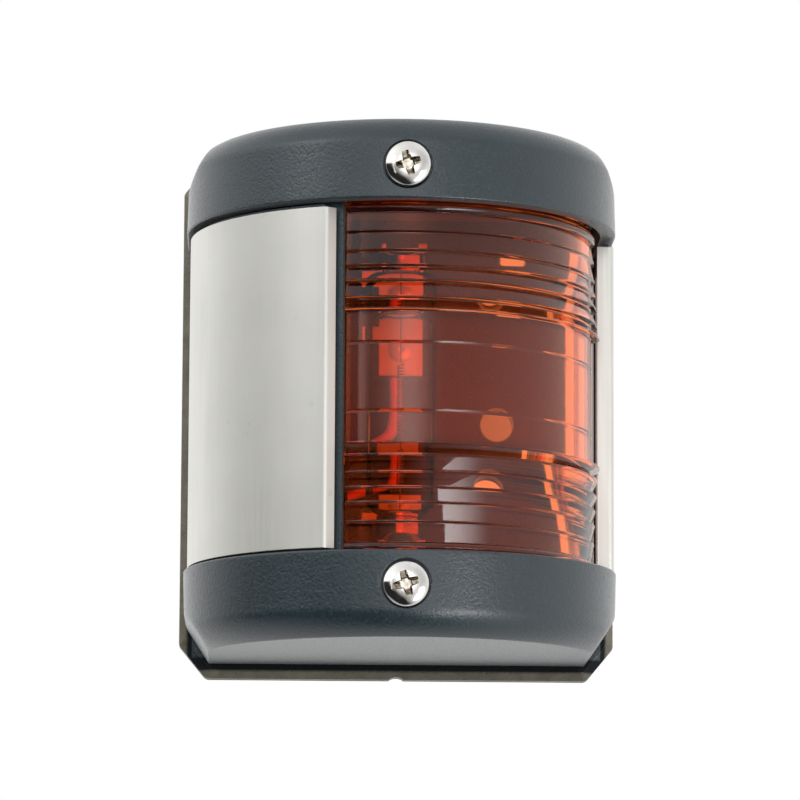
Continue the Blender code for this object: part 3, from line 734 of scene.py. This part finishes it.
def cavity_profile():
    """(inset, height) of the hollow inside a cap."""
    return [
        (CAP_WALL, CAP_INNER_Z - MM),
        (CAP_WALL + CAP_DRAFT, CAP_SHOULDER_Z - CAP_WALL),
        (CAP_WALL + CAP_CROWN_INSET, CAP_OUTER_Z - CAP_WALL),
    ]


def cap_block(side, profile, depth, back_y, steps):
    """D-shaped block following a profile, with its two outer corners sloped off."""
    rings = []
    for inset, height in profile:
        limit = corner_limit(height, depth)
        ring = []
        for x, y in d_outline(CAP_RADIUS - inset, back_y, steps):
            ring.append(Vector((math.copysign(soft_min(abs(x), limit, 0.5 * MM), x), y, side * height)))
        rings.append(ring)
    return loft(rings)


def seat_cutter(side):
    """Screw seat with a small rounded lip that follows the curved front of the cap."""
    levels = ((0.16, -0.30), (0.14, -0.01), (0.05, 0.02), (0.01, 0.08), (0.0, 0.30))
    rings = []
    for flare, depth in levels:
        ring = []
        for x, z in circle(SEAT_RADIUS + flare * MM, 72, (0.0, side * SCREW_Z)):
            front = AXIS_Y - math.sqrt((CAP_RADIUS - CAP_DRAFT / 2) ** 2 - x**2)
            ring.append(Vector((x, front + depth * MM, z)))
        rings.append(ring)
    rings.append(ring_at("y", circle(SEAT_RADIUS, 72, (0.0, side * SCREW_Z)), SEAT_Y))
    return loft(rings)


def end_cap(word, side, material):
    """Moulded end cap, open to the wall and to the lens."""
    cap = link_mesh(word + "_cap_shell", cap_block(side, cap_profile(), 0.0, CAP_BACK_Y, 120))
    cut(cap, cap_block(side, cavity_profile(), CAP_WALL, CAP_BACK_Y + CAP_WALL, 60))
    z = side * SCREW_Z
    join(cap, rod_y(BOSS_RADIUS, CAP_FRONT_Y + 2.8 * MM, CAP_FRONT_Y + CAP_WALL / 2, 0.0, z))
    cut(cap, seat_cutter(side))
    cut(cap, rod_y(BORE_RADIUS, CAP_FRONT_Y + 2 * CAP_WALL, CAP_FRONT_Y - CAP_WALL, 0.0, z))
    dress(cap, word + "_cap", material, word + "_cap")


# Screws and washers -------------


def thread_radius(turn, height, tip):
    """Radius of the screw's shank at a turn and a height, ridged along a helix."""
    phase = (height / PITCH - turn / (2 * math.pi)) % 1.0
    crest = max(0.0, 1.0 - abs(phase - 0.5) * 3.6)
    taper = min(1.0, max(0.12, (height - tip) / (3.2 * MM)))
    runout = min(1.0, max(0.0, -height / (1.2 * MM)))
    return SCREW_CORE_RADIUS * taper**0.7 + SCREW_RIDGE * crest * runout * taper


def screw_body():
    """Tapping screw about local Z: threaded shank below 0, pan head above."""
    head_height = HEAD_BACK_Y - SCREW_CROWN_Y
    tip = HEAD_BACK_Y - SCREW_TIP_Y
    rings = []
    segments, rows = 64, 150
    turns = [2 * math.pi * i / segments for i in range(segments)]
    for row in range(rows + 1):
        height = tip * (1 - row / rows)
        ring = []
        for turn in turns:
            radius = thread_radius(turn, height, tip)
            ring.append(Vector((radius * math.cos(turn), radius * math.sin(turn), height)))
        rings.append(ring)
    head = SCREW_HEAD_RADIUS
    dome = [(head - 0.12 * MM, 0.0), (head, 0.12 * MM), (head, 0.34 * head_height)]
    for i in range(1, 15):
        t = math.radians(88.0) * i / 14
        rise = 0.34 + 0.66 * math.sin(t)
        dome.append((head * math.cos(t) ** 0.72, head_height * rise))
    for radius, height in dome:
        rings.append(ring_at("z", circle(radius, segments), height))
    return loft(rings)


def recess_cutter():
    """Cross recess, each arm narrowing downwards, about local Z."""
    top = HEAD_BACK_Y - SCREW_CROWN_Y
    rings = []
    for height, arm, half in RECESS_LEVELS:
        corner = [(arm, -half), (arm, half), (1.4 * half, 1.4 * half)]
        ring = []
        for quarter in range(4):
            turn = Matrix.Rotation(math.radians(90.0 * quarter + RECESS_TURN), 4, "Z")
            ring += [turn @ Vector((x * MM, y * MM, height * top)) for x, y in corner]
        rings.append(ring)
    return loft(rings)


def cover_screw(word, side, material):
    """Pan-head tapping screw with a cross recess."""
    place = stand(0.0, HEAD_BACK_Y, side * SCREW_Z)
    screw = link_mesh(word + "_pan_screw", moved(screw_body(), place))
    cut(screw, moved(recess_cutter(), place))
    dress(screw, word + "_screw", material, word + "_cover_screw", 30.0)


def screw_washer(word, side, material):
    """Rubber sealing ring with rounded edges under the screw head."""
    half = (washer_high.y - washer_low.y) / 2
    outer = (washer_high.z - washer_low.z) / 2
    section = turn_points((outer - half, 0.0), half, -90.0, 90.0, 8)
    section += turn_points((BORE_RADIUS + half, 0.0), half, 90.0, 270.0, 8)
    ring = moved(turned(section, 64, closed=True), stand(0.0, washer_low.y + half, side * SCREW_Z))
    dress(link_mesh(word + "_sealing_ring", ring), word + "_washer", material, word + "_screw_washer")


# Lens ---------------------------


def rib_points(height, tip, root):
    """One prism rib with small fillets: it leans out to its tip, then steps in."""
    points = [(tip + out * MM, height + up * MM) for out, up in RIB_TIP]
    return points + [(root + out * MM, height + up * MM) for out, up in RIB_FOOT]


def bead_points():
    """Low rounded bead near the end of the lens."""
    rise = LENS_BEAD_RADIUS - LENS_ROOT_RADIUS
    points = []
    for i in range(9):
        t = math.pi * i / 8
        points.append((LENS_ROOT_RADIUS + rise * math.sin(t), LENS_BEAD_Z + 0.7 * MM * math.cos(t)))
    foot = 0.8 * MM
    return [(LENS_ROOT_RADIUS, LENS_BEAD_Z + foot)] + points + [(LENS_ROOT_RADIUS, LENS_BEAD_Z - foot)]


def line_points():
    """Faint moulded line across the clear band."""
    half = 0.25 * MM
    points = [(LENS_ROOT_RADIUS, LENS_LINE_Z + 1.3 * half)]
    for i in range(7):
        sink = 0.10 * MM * (1 - math.cos(2 * math.pi * i / 6)) / 2
        points.append((LENS_ROOT_RADIUS - sink, LENS_LINE_Z + half * (1 - i / 3)))
    return points + [(LENS_ROOT_RADIUS, LENS_LINE_Z - 1.3 * half)]


def lens_outer():
    """(radius, height) down the outside of the lens, mirrored about mid-height."""
    root = LENS_ROOT_RADIUS
    upper = [(root - 0.15 * MM, LENS_END_Z), (root, LENS_END_Z - 0.15 * MM)]
    upper += bead_points()
    for height, tip in LENS_RIBS:
        upper += rib_points(height * MM, tip * MM, root)
    upper += line_points()
    return upper + [(radius, -height) for radius, height in reversed(upper)]


def along_lens(section, flush, steps):
    """Rings of a section swept round the lens and back along its straight side."""
    rings = []
    for i in range(steps + 1):
        angle = LENS_START + (LENS_RIB_END - LENS_START) * i / steps
        rings.append([Vector((*polar(radius, angle), z)) for radius, z in section])
    for y in (AXIS_Y, LENS_BACK_Y):
        rings.append([Vector((min(radius, flush), y, z)) for radius, z in section])
    return rings


def lens(material):
    """Red lens with horizontal prism ribs."""
    inner = LENS_INNER_RADIUS
    back = [(inner + 0.15 * MM, -LENS_END_Z), (inner, -LENS_END_Z + 0.15 * MM)]
    back += [(radius, -height) for radius, height in reversed(back)]
    section = lens_outer() + back
    piece = link_mesh("ribbed_lens", loft(along_lens(section, LENS_ROOT_RADIUS, 150)))
    dress(piece, "lens", material, "lens", 28.0)


def lens_seal(word, side, material):
    """Rubber strip between the lens edge and the end shelf."""
    low, high = seal_low.z, seal_high.z
    inner, outer = LENS_INNER_RADIUS + 0.3 * MM, LENS_ROOT_RADIUS - 0.3 * MM
    corners = [(outer, low), (outer, high), (inner, high), (inner, low)]
    section = [(radius, side * z) for radius, z in rounded(corners, 0.2 * MM, 3)]
    piece = link_mesh(word + "_lens_gasket", loft(along_lens(section, outer, 90)))
    dress(piece, "lens", material, word + "_lens_seal")


# Shields ------------------------


def shield_sheet(node, path, material):
    """Folded stainless sheet from a plan path, with its cut edges eased."""
    outline = strip(rounded(path, 0.9 * MM, 7, closed=False), SHEET)
    sheet = link_mesh(node + "_sheet", prism("z", outline, shield_low.z, shield_high.z))
    soften(sheet, 0.09 * MM)
    dress(sheet, "base", material, node, 30.0)


def left_shield(material):
    """Sheet round the left wall, its front edge folded in towards the lens."""
    path = [(-SHIELD_RADIUS, CAP_BACK_Y)] + arc(SHIELD_RADIUS, -90.0, SHIELD_FOLD - 1.8, 90)
    path += [polar(SHIELD_RADIUS, SHIELD_FOLD), polar(SHIELD_FLANGE_RADIUS, SHIELD_FLANGE_END)]
    shield_sheet("left_shield", path, material)


def right_shield(material):
    """Angle on the right wall with a narrow flange facing forward."""
    path = [(angle_low.x, angle_low.y), (angle_high.x, angle_low.y), (angle_high.x, CAP_BACK_Y)]
    shield_sheet("right_shield", path, material)


# Base ---------------------------


def plate_outline(inset):
    """Rectangle with cut corners, moved in by inset on every side."""
    slope = math.hypot(PLATE_CHAMFER_X, PLATE_CHAMFER_Z)
    share = inset * (slope - PLATE_CHAMFER_X - PLATE_CHAMFER_Z)
    trim_x = PLATE_CHAMFER_X + share / PLATE_CHAMFER_Z
    trim_z = PLATE_CHAMFER_Z + share / PLATE_CHAMFER_X
    width, height = base_high.x - inset, base_high.z - inset
    half = [(width, height - trim_z), (width - trim_x, height)]
    half += [(-x, z) for x, z in reversed(half)]
    return rounded(half + [(-x, -z) for x, z in half], 1.2 * MM, 5)


def plate():
    """Wall plate with eased back edges and a soft bevel in front."""
    edge = [(0.15 * MM, PLATE_BACK_Y), (0.0, PLATE_BACK_Y - 0.15 * MM)]
    bevel = [(0.0, PLATE_BACK_Y - 0.5 * MM), (0.0, PLATE_FRONT_Y + PLATE_BEVEL)]
    bevel += [(PLATE_BEVEL, PLATE_FRONT_Y), (2 * PLATE_BEVEL, PLATE_FRONT_Y)]
    levels = edge + rounded(bevel, 0.35 * MM, 3, closed=False)
    return loft([ring_at("y", plate_outline(inset), y) for inset, y in levels])


def curved_wall(inner, outer, front, half_height):
    """Wall from the plate round to an angle at the front left, with a rounded front edge."""
    back = PLATE_FRONT_Y + SINK
    outside = [(-outer, back)] + arc(outer, -90.0, front, 80)
    inside = [(-inner, back)] + arc(inner, -90.0, front, 80)
    return prism("z", outside + inside[::-1], -half_height, half_height)


def post(side):
    """Screw post on an end shelf, rounded on the outside."""
    low = side * (SHELF_Z + SINK)
    top = turn_points((0.0, SCREW_Z), POST_HALF_WIDTH, 0.0, 180.0, 24)
    outline = [(POST_HALF_WIDTH, low)] + [(x, side * z) for x, z in top] + [(-POST_HALF_WIDTH, low)]
    return prism("y", outline, PLATE_FRONT_Y + SINK, POST_FRONT_Y)


def slot(left, right, low, high, corner):
    """Front-view outline of an upright slot with round corners, from sizes in mm."""
    corners = [(x * MM, z * MM) for x, z in ((left, low), (right, low), (right, high), (left, high))]
    return rounded(corners, corner * MM)


def open_back(obj):
    """Cut the openings that go through both the plate and the gasket."""
    holes = [circle(MOUNT_HOLE_RADIUS, 64, (side * MOUNT_HOLE_X, MOUNT_HOLE_Z)) for side in (1, -1)]
    holes.append(circle(CABLE_HOLE_RADIUS, 48, (GROMMET_X, GROMMET_Z)))
    holes.append(circle(DRAIN_NOTCH_RADIUS, 48, (0.0, DRAIN_NOTCH_Z)))
    for outline in holes + [slot(*SIDE_SLOT), slot(*VENT_SLOT)]:
        cut(obj, prism("y", outline, MM, 2 * PLATE_FRONT_Y))


def base_housing(plastic):
    """Wall plate, end shelves, screw posts, side walls and contact pads in one moulding."""
    base = link_mesh("base_moulding", plate())
    root = PLATE_FRONT_Y + SINK
    wall_top = SHELF_Z + SHELF_THICKNESS
    pad_x = (CONTACT_X - PAD_HALF_WIDTH, CONTACT_X + PAD_HALF_WIDTH)
    spine_z = PAD_Z[0] + SINK
    for side in (1, -1):
        join(base, prism("z", d_outline(SHELF_RADIUS, root, 90), side * SHELF_Z, side * wall_top))
        join(base, post(side))
        join(base, box(pad_x, (root, FOOT_Y + SINK), (side * PAD_Z[0], side * PAD_Z[1])))
    join(base, curved_wall(WALL_INNER_RADIUS, WALL_STEP_RADIUS, WALL_LIP_END, wall_top - SINK))
    join(base, curved_wall(WALL_STEP_RADIUS - SINK, WALL_OUTER_RADIUS, WALL_FRONT, WALL_HALF_HEIGHT))
    join(base, box(RIGHT_WALL_X, (root, RIGHT_WALL_FRONT_Y), (-WALL_HALF_HEIGHT, WALL_HALF_HEIGHT)))
    join(base, box((-SPINE_HALF_WIDTH, SPINE_HALF_WIDTH), (root, SPINE_FRONT_Y), (-spine_z, spine_z)))
    for side in (1, -1):
        cut(base, rod_y(BORE_RADIUS, POST_FRONT_Y + POST_BORE_DEPTH, CAP_FRONT_Y, 0.0, side * SCREW_Z))
        rivet_end = FOOT_Y + RIVET_HOLE_DEPTH
        cut(base, rod_y(RIVET_HOLE_RADIUS, rivet_end, 2 * FOOT_Y, CONTACT_X, side * RIVET_Z))
    open_back(base)
    dress(base, "base", plastic, "base_housing", 30.0)


def mount_gasket(foam):
    """Foam gasket behind the plate, with the plate's openings."""
    gasket = link_mesh("foam_gasket", prism("y", plate_outline(0.0), gasket_low.y, gasket_high.y))
    open_back(gasket)
    dress(gasket, "base", foam, "mount_gasket")


# Bulb and contacts --------------


def at_lamp(bm):
    """Place a turned shape on the lamp axis."""
    return moved(bm, Matrix.Translation((0.0, AXIS_Y, 0.0)))


def bulb_glass(material):
    """Tubular glass, necked into the metal ends."""
    radius, neck, wall = glass_high.x, 2.8 * MM, 0.5 * MM
    shoulder_z, neck_z = 11.2 * MM, glass_high.z
    upper = turn_points((neck, shoulder_z), radius - neck, 0.0, 90.0, 16) + [(neck, neck_z)]
    outside = [(r, -h) for r, h in reversed(upper)] + upper
    inside = [(r - wall, h) for r, h in reversed(outside)]
    piece = link_mesh("bulb_tube", at_lamp(turned(outside + inside, 72, closed=True)))
    dress(piece, "bulb", material, "bulb_glass").visible_shadow = False


def bulb_end(word, side, material):
    """Pressed metal end of the bulb: crimped cup, cone and soldered tip."""
    radius, rim_z, tip_z = tip_high.x, tip_low.z, tip_high.z
    inner = radius - 0.5 * MM
    cone_z = 18.4 * MM
    profile = [(0.6 * MM, 17.0 * MM), (inner, 17.0 * MM)]
    profile += [(radius + out * MM, rim_z + up * MM) for out, up in BULB_RIM]
    profile += [(radius + out * MM, cone_z + up * MM) for out, up in BULB_CONE]
    profile.append((1.1 * MM, tip_z - 0.45 * MM))
    for i in range(1, 6):
        t = math.pi / 2 * i / 6
        profile.append((0.95 * MM * math.cos(t), tip_z - 0.45 * MM + 0.45 * MM * math.sin(t)))
    bm = at_lamp(turned([(r, side * h) for r, h in profile], 72))
    dress(link_mesh("bulb_" + word + "_end", bm), "bulb", material, "bulb_" + word + "_cap")


def bulb_filament(material):
    """Coiled filament between two straight leads."""
    coil, half, turns, end_z = 0.5 * MM, 6.0 * MM, 26, 16.5 * MM
    lead = [Vector((0.0, 0.0, z)) for z in (half + 0.6 * MM, end_z)]
    path = [-point for point in reversed(lead)]
    steps = turns * 14
    for i in range(steps + 1):
        t = 2 * math.pi * turns * i / steps
        path.append(Vector((coil * math.cos(t), coil * math.sin(t), half * (2 * i / steps - 1))))
    piece = link_mesh("coiled_filament", at_lamp(sweep(path + lead, 0.09 * MM, 8)))
    dress(piece, "bulb", material, "bulb_filament")


def contact(word, side, material):
    """Spring strip: riveted foot, arm to the bulb tip with a slot and a lead-in."""
    thickness, lead, slot = CONTACT_THICKNESS, CONTACT_LEAD_IN, CONTACT_SLOT
    arm_z = CONTACT_ARM_Z
    path = [(FOOT_Y, contact_low.z), (FOOT_Y, arm_z + thickness), (CONTACT_REACH_Y, arm_z + thickness)]
    path.append((CONTACT_REACH_Y - lead, arm_z + thickness + lead))
    outline = strip(rounded(path, 1.0 * MM, 6, closed=False), thickness)
    half = contact_high.x - CONTACT_X
    left, right = CONTACT_X - half, CONTACT_X + half
    piece = link_mesh(word + "_spring", prism("x", [(y, side * z) for y, z in outline], left, right))
    tab_z = (side * CONTACT_TAB_Z[0], side * CONTACT_TAB_Z[1])
    join(piece, box((contact_low.x, left + thickness), (FOOT_Y - thickness, FOOT_Y), tab_z))
    slot_z = (side * (arm_z - thickness), side * (arm_z + 4 * thickness + lead))
    cut(piece, box((-slot, slot), (AXIS_Y + slot, 2 * AXIS_Y), slot_z))
    cut(piece, rod_y(RIVET_HOLE_RADIUS, 0.0, 2 * FOOT_Y, CONTACT_X, side * RIVET_Z))
    soften(piece, 0.08 * MM)
    dress(piece, "base", material, word + "_contact", 30.0)


def contact_rivet(word, side, material):
    """Domed rivet with a set mark."""
    rise = 0.9 * MM
    radius, shank = (rivet_high.x - rivet_low.x) / 2, 1.0 * MM
    crown = FOOT_Y - rivet_low.y
    profile = [(shank - 0.15 * MM, FOOT_Y - rivet_high.y), (shank, FOOT_Y - rivet_high.y + 0.15 * MM)]
    profile += [(shank, rise), (radius - 0.1 * MM, rise), (radius, rise + 0.1 * MM)]
    for i in range(1, 8):
        t = math.pi / 2 * i / 9
        profile.append((radius * math.cos(t), rise + 0.1 * MM + (crown - rise - 0.1 * MM) * math.sin(t)))
    profile += [(0.3 * radius, crown), (0.22 * radius, crown - 0.05 * MM)]
    profile.append((0.1 * radius, crown - 0.18 * MM))
    place = stand(CONTACT_X, FOOT_Y, side * RIVET_Z)
    piece = link_mesh(word + "_contact_stud", moved(turned(profile, 48), place))
    dress(piece, "base", material, word + "_contact_rivet", 30.0)


# Cable entry --------------------

WIRE_SPACING = 1.6 * MM
WIRE_RADIUS = 0.9 * MM
WIRE_Y = -7.4 * MM
WIRE_TURN_Y = -6.4 * MM
# Bends (x, z) of each wire between its contact and the grommet, in mm
POSITIVE_BENDS = ((-0.5, 5.6), (-0.5, 0.0), (-1.8, -3.6), (-7.5, -6.2), (-12.0, -9.2))
NEGATIVE_BENDS = ((-6.0, -12.4), (-8.5, -12.7), (-12.0, -13.9))


def cable_grommet(material):
    """Rubber grommet with a domed flange and a hole for each wire."""
    depth = grommet_high.y - grommet_low.y
    flange = (grommet_high.x - grommet_low.x) / 2
    body, flange_back, ease = 3.3 * MM, depth - 1.2 * MM, 0.2 * MM
    profile = [(body - ease, 0.0), (body, ease), (body, flange_back), (flange - ease, flange_back)]
    profile += [(flange, flange_back + ease), (flange, depth - 0.5 * MM), (flange - 0.5 * MM, depth)]
    bm = moved(turned(profile, 64), stand(GROMMET_X, grommet_high.y, GROMMET_Z))
    grommet = link_mesh("wire_grommet", bm)
    for side in (1, -1):
        z = GROMMET_Z + side * WIRE_SPACING
        cut(grommet, rod_y(WIRE_RADIUS + 0.3 * MM, MM, 2 * AXIS_Y, GROMMET_X, z, 32))
    dress(grommet, "base", material, "cable_grommet")


def supply_wire(name, node, bends, side, material):
    """Insulated wire from a contact through its bends to the grommet and the mounting face."""
    corners = [Vector((x * MM, WIRE_Y, z * MM)) for x, z in bends]
    for y in (WIRE_TURN_Y, PLATE_FRONT_Y + SINK, -SINK):
        corners.append(Vector((GROMMET_X, y, GROMMET_Z + side * WIRE_SPACING)))
    piece = link_mesh(name, sweep(smooth_path(corners, 12), WIRE_RADIUS, 24))
    dress(piece, "base", material, node)


# Stage, lights and camera -------

FLOOR_Z = -0.108
FLOOR_REACH = 3.0
CAMERA_PLACE = (-0.02051, -0.71296, -0.10406)
CAMERA_FORWARD = (0.02907, 0.98839, 0.14911)
CAMERA_UP = (-0.00953, -0.14889, 0.98881)
CAMERA_LENS = 210.5
LAMP_DISTANCE = 0.9

# Azimuth, elevation, tightness and amount of each soft lobe of the studio
STUDIO_LOBES = (
    (-6.0, -62.0, 9.0, -1.0),
    (-16.0, -28.0, 14.0, -0.9),
    (48.0, -22.0, 14.0, 0.35),
    (3.0, 9.0, 60.0, 1.8),
    (32.0, 12.0, 8.0, -0.25),
    (135.0, 5.0, 3.0, 0.35),
    (-150.0, 5.0, 4.0, 0.45),
    (180.0, -10.0, 6.0, -0.3),
    (176.8, 8.3, 800.0, -0.6),
)
# The left side of the studio: azimuth, tightness, the two elevations of its horizon, and the
# amounts below and above that
LEFT_SIDE = (-62.0, 3.0, 6.5, 15.0, -1.3, 0.9)


def toward(azimuth, elevation):
    """Direction from the lamp: azimuth 0 is the front, positive to the right."""
    a, e = math.radians(azimuth), math.radians(elevation)
    return Vector((math.sin(a) * math.cos(e), -math.cos(a) * math.cos(e), math.sin(e)))


class Sky(Nodes):
    """World shader whose brightness is a sum of soft lobes."""

    def __init__(self, base):
        world = bpy.data.worlds.new("studio")
        bpy.context.scene.world = world
        world.use_nodes = True
        super().__init__(world.node_tree)
        self.tree.nodes.clear()
        self.place = self.node("ShaderNodeTexCoord").outputs["Generated"]
        self.total = base

    def lobe(self, azimuth, elevation, tightness):
        """1 towards a direction, falling off to 0 to the sides."""
        facing = self.node("ShaderNodeVectorMath")
        facing.operation = "DOT_PRODUCT"
        facing.inputs[1].default_value = toward(azimuth, elevation)
        self.link(self.place, facing.inputs[0])
        return self.maths("POWER", self.maths("MAXIMUM", facing.outputs["Value"], 0.0), tightness)

    def horizon(self, start, end, below, above):
        """Value that changes from below to above between two elevations."""
        start, end = math.sin(math.radians(start)), math.sin(math.radians(end))
        return self.spread(self.split(self.place)[2], below, above, start, end, smooth=True)

    def add(self, value, amount):
        self.total = self.maths("MULTIPLY_ADD", value, amount, self.total)

    def background(self, strength):
        """White background of a strength."""
        made = self.node("ShaderNodeBackground", Color=(1.0, 1.0, 1.0, 1.0))
        self.link(strength, made.inputs["Strength"])
        return made.outputs[0]


def surroundings(base, lobes):
    """White backdrop for the camera; a studio of soft bright and dark lobes for everything else."""
    sky = Sky(base)
    for azimuth, elevation, tightness, amount in lobes:
        sky.add(sky.lobe(azimuth, elevation, tightness), amount)
    azimuth, tightness, start, end, below, above = LEFT_SIDE
    sky.add(sky.lobe(azimuth, 0.0, tightness), sky.horizon(start, end, below, above))
    studio = sky.background(sky.maths("MAXIMUM", sky.total, 0.02))
    is_camera = sky.node("ShaderNodeLightPath").outputs["Is Camera Ray"]
    mixed = sky.shader_mix(is_camera, studio, sky.background(1.0))
    sky.link(mixed, sky.node("ShaderNodeOutputWorld").inputs[0])


def softbox(name, azimuth, elevation, width, height, radiance, mirrored=True, refracted=True):
    """Rectangular lamp facing the object, seen or not seen in reflections and through the lens."""
    away = toward(azimuth, elevation)
    light = bpy.data.lights.new(name, "AREA")
    light.shape = "RECTANGLE"
    light.size, light.size_y = width, height
    light.energy = radiance * math.pi * width * height
    lamp = place_new(name, light)
    lamp.location = away * LAMP_DISTANCE
    lamp.rotation_mode = "QUATERNION"
    lamp.rotation_quaternion = away.to_track_quat("Z", "Y")
    lamp.visible_camera = False
    lamp.visible_glossy = mirrored
    lamp.visible_transmission = refracted
    return light


def fade(light, start, end):
    """Fade a rectangular lamp's brightness across its width, from start to end."""
    light.use_nodes = True
    nodes = Nodes(light.node_tree)
    across = nodes.split(nodes.node("ShaderNodeNewGeometry").outputs["Parametric"])[0]
    strength = nodes.spread(across, 1.0, 0.0, start, end, smooth=True)
    nodes.link(strength, nodes.tree.nodes["Emission"].inputs["Strength"])


def floor():
    """Pale floor under the object, unseen from below."""
    bm = bmesh.new()
    corners = ((-1, -1), (1, -1), (1, 1), (-1, 1))
    bm.faces.new([bm.verts.new((FLOOR_REACH * x, FLOOR_REACH * y, FLOOR_Z)) for x, y in corners])
    obj = link_mesh("floor", bm)
    finish = Finish("floor_paint")
    tone = finish.noise(3.0, 2.0)
    finish.colour(finish.mottle(tone, (0.80, 0.80, 0.79), (0.84, 0.84, 0.83)))
    finish.roughness(0.8)
    from_below = finish.node("ShaderNodeNewGeometry").outputs["Backfacing"]
    finish.surface(finish.shader_mix(from_below, finish.shader.outputs[0], finish.clear((1.0, 1.0, 1.0))))
    obj.data.materials.append(finish.material)
    for kind in ("diffuse", "glossy", "transmission", "shadow"):
        setattr(obj, "visible_" + kind, False)


def camera():
    """View from in front, a little below and to the left of the lamp."""
    data = bpy.data.cameras.new("camera")
    data.lens = CAMERA_LENS
    data.sensor_width = 36.0
    data.clip_start = 0.05
    obj = place_new("camera", data)
    forward = Vector(CAMERA_FORWARD)
    right = forward.cross(Vector(CAMERA_UP)).normalized()
    turn = Matrix((right, right.cross(forward), -forward)).transposed()
    obj.matrix_world = Matrix.Translation(CAMERA_PLACE) @ turn.to_4x4()
    bpy.context.scene.camera = obj


def build():
    """Make every piece, then the stage."""
    plastic = moulded_plastic().material
    steel = bright_nickel().material
    screw_steel = screw_nickel()
    rubber = soft_rubber()
    sheet = satin_stainless()
    brass = sprung_brass()
    base_housing(base_plastic())
    mount_gasket(closed_foam())
    left_shield(sheet)
    right_shield(sheet)
    lens(lens_plastic())
    bulb_glass(bulb_clear_glass())
    bulb_filament(grained("drawn_tungsten", 3000.0, (0.16, 0.16, 0.17), (0.30, 0.30, 0.31), 1.0))
    cable_grommet(rubber)
    red, black = cable_skin("red_skin", (0.80, 0.16, 0.06)), cable_skin("black_skin", (0.02, 0.02, 0.02))
    supply_wire("positive_lead", "supply_wire_positive", POSITIVE_BENDS, 1, red)
    supply_wire("negative_lead", "supply_wire_negative", NEGATIVE_BENDS, -1, black)
    for word, side in (("upper", 1), ("lower", -1)):
        end_cap(word, side, plastic)
        cover_screw(word, side, screw_steel)
        screw_washer(word, side, rubber)
        lens_seal(word, side, rubber)
        bulb_end(word, side, steel)
        contact(word, side, brass)
        contact_rivet(word, side, brass)
    surroundings(0.9, STUDIO_LOBES)
    fade(softbox("key_low_right", 45.6, -21.0, 0.72, 0.53, 8.0, refracted=False), 0.0, 0.65)
    fade(softbox("fill_left_front", -22.0, 8.0, 0.12, 0.5, 1.2), 0.0, 1.0)
    softbox("glint_upper_left", -52.0, 24.0, 0.22, 0.22, 3.2)
    softbox("soft_front", -5.0, 12.0, 0.4, 0.4, 12.0, mirrored=False, refracted=False)
    floor()
    camera()
    bpy.context.scene.view_settings.view_transform = "Standard"


build()
